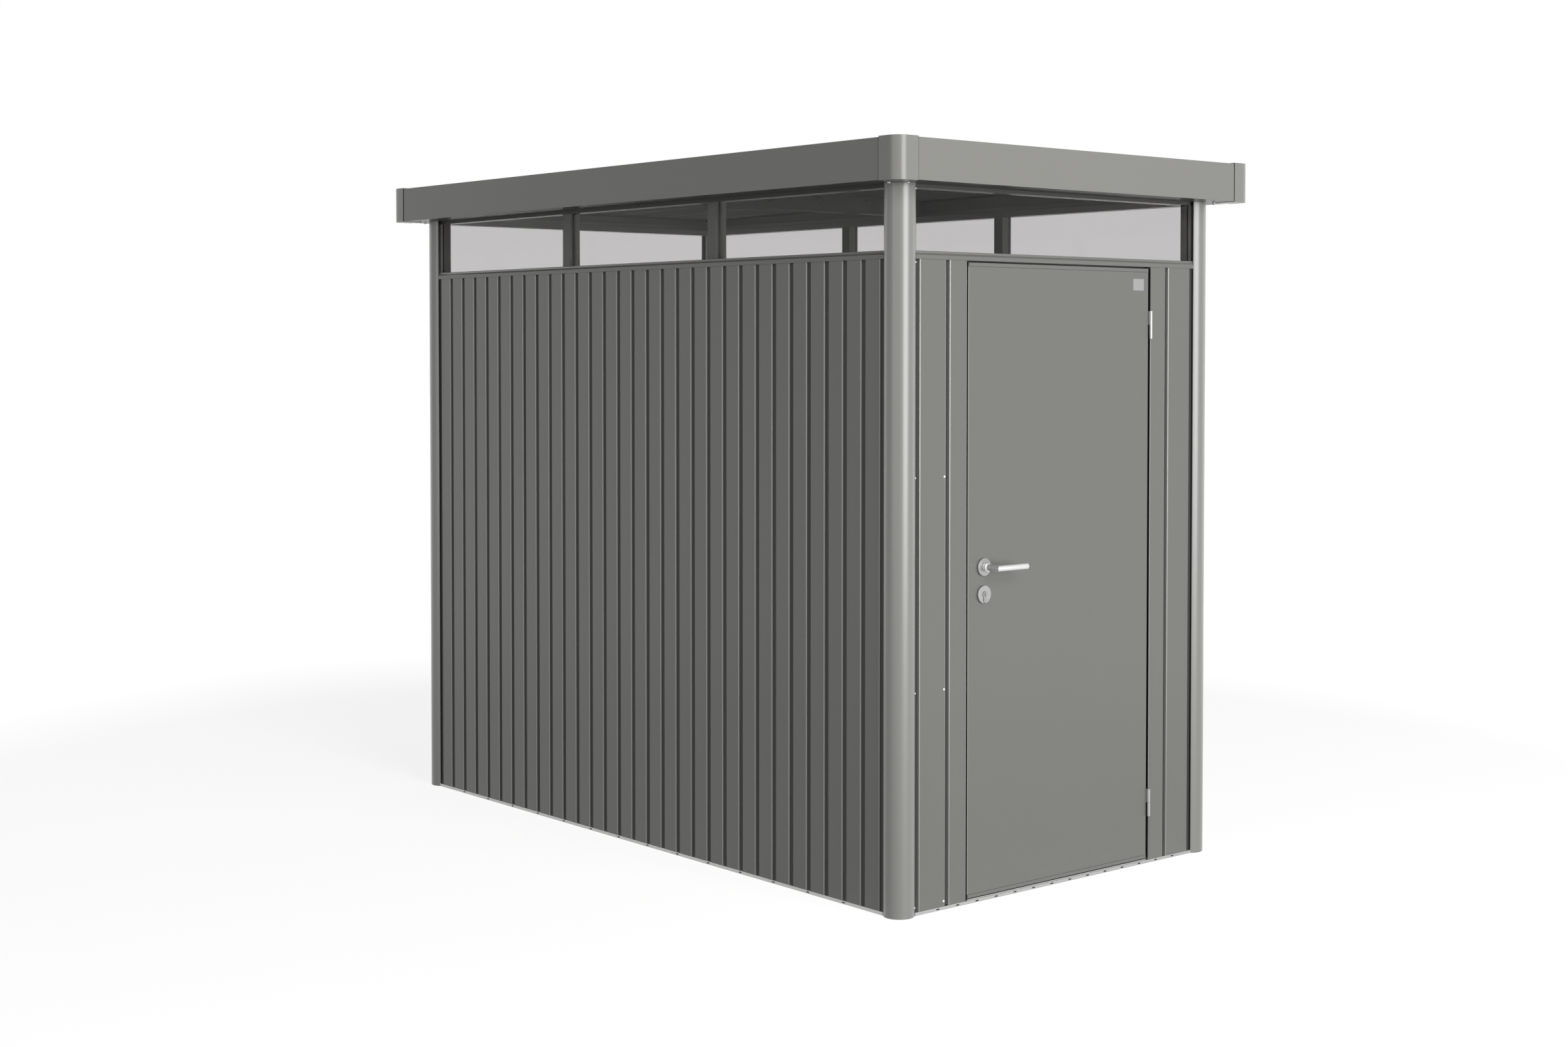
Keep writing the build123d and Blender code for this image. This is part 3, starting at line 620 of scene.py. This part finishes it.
# Roof: painted light in its lighter grey, and painted shade on the faces that look down.
ROOF_PAINT = painted(
    "roof coat", ROOF_PAINTED_LIGHT_GREY, roughness=0.6, gloss=0.03, dust=0.25, clear=NO_TOP_COAT, underside_shade=0.45
)
BASE_METAL = brushed("base aluminium", ALUMINIUM, (3.0, 3.0, 900.0), 0.45)
LEVER_STEEL = brushed("lever steel", LEVER_TONE, (40.0, 700.0, 700.0), 0.33, contrast=0.08)
PLATE_STEEL = brushed("rose steel", PLATE_TONE, (700.0, 40.0, 700.0), 0.42)
CYLINDER_NICKEL = brushed("cylinder nickel", NICKEL_TONE, (600.0, 60.0, 600.0), 0.35)
HINGE_STEEL = brushed("hinge steel", HINGE_TONE, (500.0, 500.0, 20.0), 0.4)
BARE_PLATE = brushed("bare plate", PLATE_TONE, (30.0, 500.0, 500.0), 0.4)
SCREW_STEEL = brushed("screw steel", SCREW_TONE, (300.0, 300.0, 300.0), 0.2)
BLACK_SHADE = dull_black("black painted shade", SHADE_BLACK)
GLASS = clear_glass("window glass", GLASS_TINT)


# CAD pieces: finishes and rounded rims

WALL_RIM = 0.3 * MM
POST_RIM = 0.5 * MM
RAIL_RIM = 0.8 * MM
BASE_RIM = 0.5 * MM
FASCIA_RIM = 0.7 * MM
CAP_RIM = 0.6 * MM
STRUT_RIM = 1.2 * MM
DOOR_RIM = 0.5 * MM
ROSE_RIM = 0.9 * MM
LEVER_RIM = 1.2 * MM
HINGE_RIM = 0.6 * MM
PLATE_RIM = 0.3 * MM
WALL_RIM_ANGLE = 12.0
ROUND_FORM_ANGLE = 40.0
FINE_SEGMENTS = 3


def dress_walls(walls, axis, bend, others):
    """Grooved sheets; each wall is a name and the place of its outer face along axis."""
    for name, face in walls:
        dressed(
            name,
            WALL_PAINT,
            WALL_RIM,
            angle=WALL_RIM_ANGLE,
            shape=lambda maker: crease_bends(maker, axis, face, *bend),
            others=others,
        )


def dress_shell():
    for corner in ("front_left", "front_right", "back_left", "back_right"):
        dressed("post_" + corner, POST_PAINT, POST_RIM)
    long_walls = (("left_wall", -WALL_X), ("right_wall", WALL_X))
    # Long walls: painted shade on the groove bottoms, painted highlight on the bend slopes, the wall's
    # own finish on the groove sides.
    dress_walls(long_walls, 0, LONG_WALL_BEND, (LONG_GROOVE_SHADE_PAINT, BEND_HIGHLIGHT_PAINT, WALL_PAINT))
    short_walls = (("back_wall", BACK_Y), ("front_wall_left", FRONT_Y), ("front_wall_right", FRONT_Y))
    # Short walls: painted shade on the groove bottoms, painted highlight on the bend slopes and the
    # groove sides.
    dress_walls(short_walls, 1, SHORT_WALL_BEND, (GROOVE_SHADE_PAINT, BEND_HIGHLIGHT_PAINT, BEND_HIGHLIGHT_PAINT))
    for side in ("front", "back", "left", "right"):
        dressed("sill_rail_" + side, RAIL_PAINT, RAIL_RIM)
        dressed("base_rail_" + side, BASE_METAL, BASE_RIM)
        dressed("head_beam_" + side, HEAD_SHADE_PAINT, RAIL_RIM, shape=inner_side, others=(INNER_LIGHT_PAINT,))
        dressed("fascia_" + side, FASCIA_PAINT, FASCIA_RIM)
        coated("window_glass_" + side, GLASS)
    dressed("fascia_corner_caps", CAP_PAINT, CAP_RIM, angle=ROUND_FORM_ANGLE)
    dressed("window_mullions", MULLION_PAINT, STRUT_RIM)
    dressed("roof_cross_beam", BEAM_SHADE_PAINT, STRUT_RIM)
    dressed("door_jambs", DOOR_PAINT, DOOR_RIM)
    dressed("door_head_stop", DOOR_PAINT, DOOR_RIM)
    coated("roof_sheet", ROOF_PAINT)


def dress_door():
    # Door leaf: painted highlight on its slanted edges.
    dressed("door_leaf", DOOR_PAINT, DOOR_RIM, shape=bright_front_edges, others=(BEND_HIGHLIGHT_PAINT,))
    dressed("lock_plates", PLATE_STEEL, ROSE_RIM, segments=FINE_SEGMENTS)
    for lever in ("lever_outer", "lever_inner"):
        dressed(lever, LEVER_STEEL, LEVER_RIM, segments=FINE_SEGMENTS, angle=ROUND_FORM_ANGLE)
    dressed("hinge_frame_halves", HINGE_STEEL, HINGE_RIM)
    dressed("hinge_leaf_halves", HINGE_STEEL, HINGE_RIM)
    dressed("door_plate", BARE_PLATE, PLATE_RIM)
    coated("door_stiffeners", DOOR_PAINT)
    coated("lock_case", PLATE_STEEL)
    coated("lock_cylinder", CYLINDER_NICKEL)


# Screws and bolts

# Shares of a pan head's radius and height, from its foot up
PAN_HEAD = ((0.96, 0.0), (1.0, 0.35), (0.86, 0.72), (0.55, 0.95), (0.2, 1.0))
SCREW_RADIUS = 4.0 * MM
SCREW_HEIGHT = 2.6 * MM
SCREW_LEVELS = (0.025, 0.643, 1.260)
BAND_SCREW_X = -0.4975
POST_SCREW_LEVELS = SCREW_LEVELS + (1.876, 2.086)
POST_SCREW_SHARE = 0.8
POST_SCREW_ANGLE = 38.0
CAP_BOLT_PLACES = ((0.717, 1.276), (0.6745, 1.311))
CAP_BOLT_RADIUS = 5.0 * MM
CAP_BOLT_HEIGHT = 4.5 * MM


def pan_head(radius, height):
    """Profile of a low dome on a short rim."""
    return [(radius * wide, height * high) for wide, high in PAN_HEAD]


def wall_screws():
    """Screws in the band left of the door and down the near post's edge."""
    maker = bmesh.new()
    for level in SCREW_LEVELS:
        head = pan_head(SCREW_RADIUS, SCREW_HEIGHT)
        add_turned(maker, head, (BAND_SCREW_X, FRONT_Y, level), (0, -1, 0))
    centre = Vector((-WALL_X + POST_CENTRE_IN, FRONT_Y + POST_CENTRE_IN, 0))
    turn = math.radians(POST_SCREW_ANGLE)
    out = Vector((math.sin(turn), -math.cos(turn), 0))
    for level in POST_SCREW_LEVELS:
        foot = centre + out * POST_RADIUS + Vector((0, 0, level))
        head = pan_head(SCREW_RADIUS * POST_SCREW_SHARE, SCREW_HEIGHT * POST_SCREW_SHARE)
        add_turned(maker, head, foot, out)
    finished("wall_screws", maker, SCREW_STEEL, "shell")


def cap_bolts():
    """Two bolts under each roof corner, placed as under the near one."""
    maker = bmesh.new()
    head = pan_head(CAP_BOLT_RADIUS, CAP_BOLT_HEIGHT)
    for sign_x in (-1, 1):
        for sign_y in (-1, 1):
            for x, y in CAP_BOLT_PLACES:
                add_turned(maker, head, (sign_x * x, sign_y * y, CAP_LOW.z), (0, 0, -1))
    finished("cap_bolts", maker, PLATE_STEEL, "shell")


# Painted shade in the gaps and seams, and marks of the shell

# Sizes of the black strips that stand for shade in narrow gaps: painted shade.
SHADE_STRIP_WIDTH = 3.5 * MM
SHADE_STRIP_PROUD = 0.6 * MM
SHADE_STRIP_RIM = 0.3 * MM
SEAM_WIDTH = 2.2 * MM
NEAR_SEAM_WIDTH = 0.9 * MM
SEAM_PROUD = 1.2 * MM
SEAM_FOOT_GAP = 2.0 * MM
MARKS_EACH_SIDE = 3
MARK_SPACING = 225.0 * MM
MARK_SIZE = 25.0 * MM
MARK_RIM = 2.2 * MM
MARK_PROUD = 1.0 * MM
MARK_RISE = 2.1467


def post_gap_shade():
    """Black strips where the post shells lap the cores beside the panes: painted shade of the gaps there.
    """
    maker = bmesh.new()
    deep = POST_CENTRE_IN - CORE_SETBACK
    lap = math.sqrt(POST_RADIUS ** 2 - deep ** 2) + POST_CENTRE_IN
    edge_x = WALL_X - lap
    edge_y = BACK_Y - lap
    face_x = WALL_X - CORE_SETBACK
    face_y = BACK_Y - CORE_SETBACK
    strips = (
        ((edge_x - SHADE_STRIP_WIDTH, face_y - SHADE_STRIP_PROUD), (edge_x + SHADE_STRIP_PROUD, face_y + SHADE_STRIP_PROUD)),
        ((face_x - SHADE_STRIP_PROUD, edge_y - SHADE_STRIP_WIDTH), (face_x + SHADE_STRIP_PROUD, edge_y + SHADE_STRIP_PROUD)),
    )
    for sign_x in (-1, 1):
        for sign_y in (-1, 1):
            for low, high in strips:
                x = sorted((sign_x * low[0], sign_x * high[0]))
                y = sorted((sign_y * low[1], sign_y * high[1]))
                add_block(maker, (x[0], y[0], GLASS_LOW.z), (x[1], y[1], GLASS_HIGH.z))
    rounded(finished("post_gap_shade", maker, BLACK_SHADE, "shell"), SHADE_STRIP_RIM)


def beam_marks():
    """Square pressed marks on the roof beam's web, towards the door; their rims take the dark groove
    finish, painted shade.
    """
    maker = bmesh.new()
    half = MARK_SIZE / 2
    inner = half - MARK_RIM
    rims = (
        ((-half, -half), (half, -inner)),
        ((-half, inner), (half, half)),
        ((-half, -inner), (-inner, inner)),
        ((inner, -inner), (half, inner)),
    )
    for step in range(-MARKS_EACH_SIDE, MARKS_EACH_SIDE):
        x = (step + 0.5) * MARK_SPACING
        for low, high in rims:
            add_block(
                maker,
                (x + low[0], BEAM_FACE - MARK_PROUD, MARK_RISE + low[1]),
                (x + high[0], BEAM_FACE, MARK_RISE + high[1]),
            )
    finished("beam_marks", maker, GROOVE_SHADE_PAINT, "shell")


def cap_seam_shade():
    """Dark strips beside the legs of the roof caps, painted shade of the joints; the near corner's joint
    is tighter.
    """
    maker = bmesh.new()
    face_x = CAP_HIGH.x - CAP_SHEET
    face_y = CAP_HIGH.y - CAP_SHEET
    low = CAP_LOW.z + SEAM_FOOT_GAP
    for sign_x, sign_y in ((-1, -1), (1, -1), (-1, 1), (1, 1)):
        width = NEAR_SEAM_WIDTH if (sign_x, sign_y) == (-1, -1) else SEAM_WIDTH
        along = sorted((sign_x * (face_x - CAP_LEG), sign_x * (face_x - CAP_LEG - width)))
        out = sorted((sign_y * face_y, sign_y * (face_y + SEAM_PROUD)))
        add_block(maker, (along[0], out[0], low), (along[1], out[1], FASCIA_TOP))
        along = sorted((sign_y * (face_y - CAP_LEG), sign_y * (face_y - CAP_LEG - width)))
        out = sorted((sign_x * face_x, sign_x * (face_x + SEAM_PROUD)))
        add_block(maker, (out[0], along[0], low), (out[1], along[1], FASCIA_TOP))
    rounded(finished("cap_seam_shade", maker, BLACK_SHADE, "shell"), SHADE_STRIP_RIM)


# Strips round the door; depths run back from the leaf's front or from its back

# Places of the black strips that stand for the shade in the door's gaps: painted shade.
STOP_SHADE_DEPTH = (1.0 * MM, 5.0 * MM)
LOCK_SHADE_REACH = (-4.5 * MM, 8.0 * MM)
HINGE_SHADE_REACH = (-5.0 * MM, 8.5 * MM)
HEAD_SHADE_DEPTH = (1.2 * MM, 9.0 * MM)
HEAD_SHADE_GAP = 1.8 * MM
JAMB_SHADE_DEPTH = (2.5 * MM, 9.5 * MM)
JAMB_SHADE_WIDTH = 0.9 * MM
EDGE_SHADE_DEPTH = (2.4 * MM, 9.0 * MM)
EDGE_SHADE_REACH = (-0.6 * MM, 0.2 * MM)
EDGE_SHADE_END = 1.0 * MM
HEM_HEIGHT = 10.0 * MM
HEM_PROUD = 0.5 * MM
HEM_SIDE_GAP = 2.0 * MM
HEM_EDGE_GAP = 0.8 * MM
FOLD_LINE = 0.9 * MM
FOLD_LINE_PROUD = 0.2 * MM
HEM_ROUNDING = 0.2 * MM
FOLD_LINE_ROUNDING = 0.08 * MM
SILL_STRIP_DEPTH = (0.4 * MM, 7.0 * MM)
SILL_STRIP_LEVELS = (BASE_TOP - 0.5 * MM, 13.5 * MM)
SILL_STRIP_RIM = 0.6 * MM


def door_gap_shade():
    """Black strips on the stops, over the leaf and on the hinge jamb, clear of the closed leaf: painted
    shade of the door's gaps.
    """
    maker = bmesh.new()
    front = LEAF_LOW.y
    left, bottom = LEAF_LOW.x, LEAF_LOW.z
    right, top = LEAF_HIGH.x, LEAF_HIGH.z
    near, far = (LEAF_HIGH.y + depth for depth in STOP_SHADE_DEPTH)
    for edge, reach in ((left, LOCK_SHADE_REACH), (right, HINGE_SHADE_REACH)):
        add_block(maker, (edge + reach[0], near, bottom), (edge + reach[1], far, top))
    near, far = (front + depth for depth in HEAD_SHADE_DEPTH)
    add_block(maker, (left, near, top + HEAD_SHADE_GAP), (right, far, SILL_FOOT))
    jamb = -left + LOCK_GAP
    near, far = (front + depth for depth in JAMB_SHADE_DEPTH)
    add_block(maker, (jamb - JAMB_SHADE_WIDTH, near, bottom), (jamb, far, top))
    rounded(finished("door_gap_shade", maker, BLACK_SHADE, "shell"), SHADE_STRIP_RIM)


def door_hems():
    """Folded hems along the leaf's top and bottom; their fold lines are thin dark strips, painted shade
    of the folds.
    """
    front = LEAF_LOW.y
    left = LEAF_LOW.x + HEM_SIDE_GAP
    right = LEAF_HIGH.x - HEM_SIDE_GAP
    hems = bmesh.new()
    lines = bmesh.new()
    for edge, inward in ((LEAF_HIGH.z - HEM_EDGE_GAP, -1), (LEAF_LOW.z + HEM_EDGE_GAP, 1)):
        fold = edge + inward * HEM_HEIGHT
        line = fold + inward * FOLD_LINE
        low, high = sorted((edge, fold))
        add_block(hems, (left, front - HEM_PROUD, low), (right, front, high))
        low, high = sorted((fold, line))
        add_block(lines, (left, front - FOLD_LINE_PROUD, low), (right, front, high))
    rounded(finished("door_hems", hems, DOOR_PAINT, "door"), HEM_ROUNDING)
    folds = finished("door_fold_lines", lines, GROOVE_SHADE_PAINT, "door")
    rounded(folds, FOLD_LINE_ROUNDING)


def lock_edge_shade():
    """Black strip down the leaf's lock edge: painted shade of the lock-side gap."""
    maker = bmesh.new()
    near, far = (LEAF_LOW.y + depth for depth in EDGE_SHADE_DEPTH)
    out, back = (LEAF_LOW.x + reach for reach in EDGE_SHADE_REACH)
    low, high = LEAF_LOW.z + EDGE_SHADE_END, LEAF_HIGH.z - EDGE_SHADE_END
    add_block(maker, (out, near, low), (back, far, high))
    rounded(finished("lock_edge_shade", maker, BLACK_SHADE, "door"), HEM_ROUNDING)


def door_sill():
    """Bright strip on the base rail, just clear under the leaf."""
    maker = bmesh.new()
    near, far = (LEAF_LOW.y + depth for depth in SILL_STRIP_DEPTH)
    low, high = SILL_STRIP_LEVELS
    add_block(maker, (LEAF_LOW.x, near, low), (LEAF_HIGH.x, far, high))
    strip = finished("door_sill_strip", maker, BASE_METAL, "shell")
    rounded(strip, SILL_STRIP_RIM)


# Faces of the lock cylinder, on both sides of the door

CYLINDER_CENTRE_X = (CYLINDER_LOW.x + CYLINDER_HIGH.x) / 2
CYLINDER_CENTRE_Z = CYLINDER_HIGH.z - KEY_ROUND
CYLINDER_ENDS = ((CYLINDER_LOW.y, -1), (CYLINDER_HIGH.y, 1))
# Radius and height of the plug's rim
PLUG_RIM = ((6.8 * MM, 0.0), (6.8 * MM, 0.25 * MM), (6.5 * MM, 0.5 * MM))
PLUG_SEGMENTS = 48
# Wavy middle line of the key slot, across and up in millimetres
KEY_WAVE = (
    (0.0, 5.0), (0.9, 3.6), (0.9, 2.4), (-0.6, 1.0), (-0.6, -0.6), (0.6, -1.8), (0.6, -3.2), (0.0, -5.0)
)
KEYWAY_HALF_WIDTH = 1.1 * MM
KEYWAY_HEIGHTS = (0.3 * MM, 0.62 * MM)
KEY_GAP_OFFSETS = (0.1 * MM, 0.9 * MM)
KEY_GAP_PROUD = 0.3 * MM
ARC_STEPS = 16


def ring_at(maker, y, points):
    """Points given across and up from the cylinder's centre, in the plane at y."""
    return [
        maker.verts.new((CYLINDER_CENTRE_X + x, y, CYLINDER_CENTRE_Z + z))
        for x, z in points
    ]


def keyways():
    """The turning plug and its wavy key slot; the slot is a black solid, painted shade of the opening."""
    plugs = bmesh.new()
    slots = bmesh.new()
    outline = [(x * MM + KEYWAY_HALF_WIDTH, z * MM) for x, z in KEY_WAVE]
    outline += [(x * MM - KEYWAY_HALF_WIDTH, z * MM) for x, z in reversed(KEY_WAVE)]
    for end, outward in CYLINDER_ENDS:
        foot = (CYLINDER_CENTRE_X, end, CYLINDER_CENTRE_Z)
        add_turned(plugs, PLUG_RIM, foot, (0, outward, 0), PLUG_SEGMENTS)
        back, front = (ring_at(slots, end + outward * height, outline) for height in KEYWAY_HEIGHTS)
        add_walls(slots, back, front)
        slots.faces.new(front)
        slots.faces.new(back[::-1])
    finished("key_plugs", plugs, CYLINDER_NICKEL, "door")
    finished("key_slots", slots, BLACK_SHADE, "door")


def cylinder_outline(extra):
    """A round head over a narrower leg with a round foot, grown by extra."""
    half = KEY_LEG_HALF + extra
    radius = KEY_ROUND + extra
    sweep = math.pi - math.asin(half / radius)
    ring = []
    for i in range(ARC_STEPS + 1):
        turn = sweep - 2 * sweep * i / ARC_STEPS
        ring.append((radius * math.sin(turn), radius * math.cos(turn)))
    for i in range(ARC_STEPS + 1):
        turn = math.pi * i / ARC_STEPS
        ring.append((-half * math.cos(turn), -KEY_LEG_DROP - half * math.sin(turn)))
    return ring


def key_plate_gaps():
    """Painted shade of the gap round the lock cylinder: a thin dark band on the face of each key plate.
    """
    maker = bmesh.new()
    close, wide = (cylinder_outline(offset) for offset in KEY_GAP_OFFSETS)
    for end, outward in CYLINDER_ENDS:
        plate = end - outward * CYLINDER_PROUD
        sunk = plate - outward * KEY_GAP_PROUD
        proud = plate + outward * KEY_GAP_PROUD
        corners = ((close, sunk), (close, proud), (wide, proud), (wide, sunk))
        loops = [ring_at(maker, y, outline) for outline, y in corners]
        for first, second in zip(loops, loops[1:] + loops[:1]):
            add_walls(maker, first, second)
    finished("key_plate_gaps", maker, BLACK_SHADE, "door")


# Floor, light and camera

FLOOR_HALF = 60.0
FLOOR_TONE = 0.55
FLOOR_TONE_SPREAD = 0.02
FLOOR_CLOUD_SCALE = 0.8
FLOOR_ROUGHNESS = 0.9
FLOOR_GLOSS = 0.1
FLOOR_GLOW_NEAR = 0.8
SHADOW_REACH = (3.2, 5.5)
WORLD_LIGHT = 0.1
WORLD_SEEN = 1.0
# name, azimuth from the front towards the left in degrees, distance, height, width, tall, watts
LAMPS = (
    ("front box", 3.0, 10.0, 2.0, 5.6, 3.9, 445.0),
    ("high front box", 12.0, 8.0, 5.2, 4.0, 2.5, 140.0),
    ("left box", 62.0, 6.0, 2.2, 2.2, 4.2, 14.0),
    ("left strip", 84.0, 14.0, 2.2, 1.6, 6.0, 74.0),
    ("right box", -66.0, 6.0, 2.2, 1.6, 4.2, 13.0),
    ("back left box", 160.0, 7.0, 2.2, 2.0, 4.2, 10.0),
)
LAMP_AIM = Vector((0, 0, 1.1))
CAMERA_PLACE = (-4.91707, -5.79656, 1.63104)
CAMERA_TURN = math.radians(39.972)
CAMERA_TILT = math.radians(-1.619)
SENSOR_WIDTH = 36.0
CAMERA_LENS = 50.128
CAMERA_SHIFT = (0.00441, -0.07246)
VIEW_LIMIT = 300.0


def seen_directly(tree):
    """1 where the camera looks straight, by gloss or through glass, and 0 for soft light."""
    path = tree.nodes.new("ShaderNodeLightPath")
    straight = calculated(tree, "MAXIMUM", path.outputs["Is Camera Ray"], path.outputs["Is Glossy Ray"])
    return calculated(tree, "MAXIMUM", straight, path.outputs["Is Transmission Ray"])


def pale_floor():
    """Pale floor that reads white, with the shed's shadow, and melts into the white backdrop."""
    material, tree, shader = blank_material("pale floor")
    where = object_coordinates(tree)
    darkest = FLOOR_TONE * (1 - FLOOR_TONE_SPREAD)
    palest = FLOOR_TONE * (1 + FLOOR_TONE_SPREAD)
    tone = remap(tree, noise(tree, where, FLOOR_CLOUD_SCALE), 0.0, 1.0, darkest, palest)
    combine = tree.nodes.new("ShaderNodeCombineColor")
    for label in ("Red", "Green", "Blue"):
        tree.links.new(tone, combine.inputs[label])
    tree.links.new(combine.outputs[0], shader.inputs["Base Color"])
    shader.inputs["Roughness"].default_value = FLOOR_ROUGHNESS
    shader.inputs["Specular IOR Level"].default_value = FLOOR_GLOSS
    reach = tree.nodes.new("ShaderNodeVectorMath")
    reach.operation = "LENGTH"
    tree.links.new(where, reach.inputs[0])
    glow = remap(tree, reach.outputs["Value"], *SHADOW_REACH, FLOOR_GLOW_NEAR, 1.0)
    shader.inputs["Emission Color"].default_value = WHITE
    strength = calculated(tree, "MULTIPLY", glow, seen_directly(tree))
    tree.links.new(strength, shader.inputs["Emission Strength"])
    return material


def floor():
    mesh = bpy.data.meshes.new("floor")
    half = FLOOR_HALF
    corners = [(-half, -half, 0), (half, -half, 0), (half, half, 0), (-half, half, 0)]
    mesh.from_pydata(corners, [], [(0, 1, 2, 3)])
    mesh.materials.append(pale_floor())
    ground = bpy.data.objects.new("floor", mesh)
    bpy.context.scene.collection.objects.link(ground)


def background(tree, strength):
    node = tree.nodes.new("ShaderNodeBackground")
    node.inputs["Strength"].default_value = strength
    node.inputs["Color"].default_value = WHITE
    return node.outputs[0]


def world():
    """Even white light; the camera, gloss and glass see a white background."""
    sky = bpy.data.worlds.new("studio")
    bpy.context.scene.world = sky
    sky.use_nodes = True
    tree = sky.node_tree
    tree.nodes.clear()
    blend = tree.nodes.new("ShaderNodeMixShader")
    end = tree.nodes.new("ShaderNodeOutputWorld")
    tree.links.new(seen_directly(tree), blend.inputs[0])
    tree.links.new(background(tree, WORLD_LIGHT), blend.inputs[1])
    tree.links.new(background(tree, WORLD_SEEN), blend.inputs[2])
    tree.links.new(blend.outputs[0], end.inputs["Surface"])


def lamps():
    for name, azimuth, distance, height, width, tall, watts in LAMPS:
        data = bpy.data.lights.new(name, "AREA")
        data.shape = "RECTANGLE"
        data.size = width
        data.size_y = tall
        data.energy = watts
        lamp = bpy.data.objects.new(name, data)
        turn = math.radians(azimuth)
        lamp.location = (-distance * math.sin(turn), -distance * math.cos(turn), height)
        lamp.rotation_euler = (LAMP_AIM - lamp.location).to_track_quat("-Z", "Y").to_euler()
        bpy.context.scene.collection.objects.link(lamp)


def camera():
    data = bpy.data.cameras.new("photo view")
    data.sensor_width = SENSOR_WIDTH
    data.lens = CAMERA_LENS
    data.shift_x, data.shift_y = CAMERA_SHIFT
    data.clip_end = VIEW_LIMIT
    view = bpy.data.objects.new("photo view", data)
    view.location = CAMERA_PLACE
    view.rotation_euler = (math.pi / 2 + CAMERA_TILT, 0, -CAMERA_TURN)
    bpy.context.scene.collection.objects.link(view)
    bpy.context.scene.camera = view


dress_shell()
dress_door()
wall_screws()
cap_bolts()
post_gap_shade()
beam_marks()
door_gap_shade()
door_hems()
lock_edge_shade()
door_sill()
cap_seam_shade()
keyways()
key_plate_gaps()
floor()
world()
lamps()
camera()
bpy.context.scene.view_settings.view_transform = "Standard"
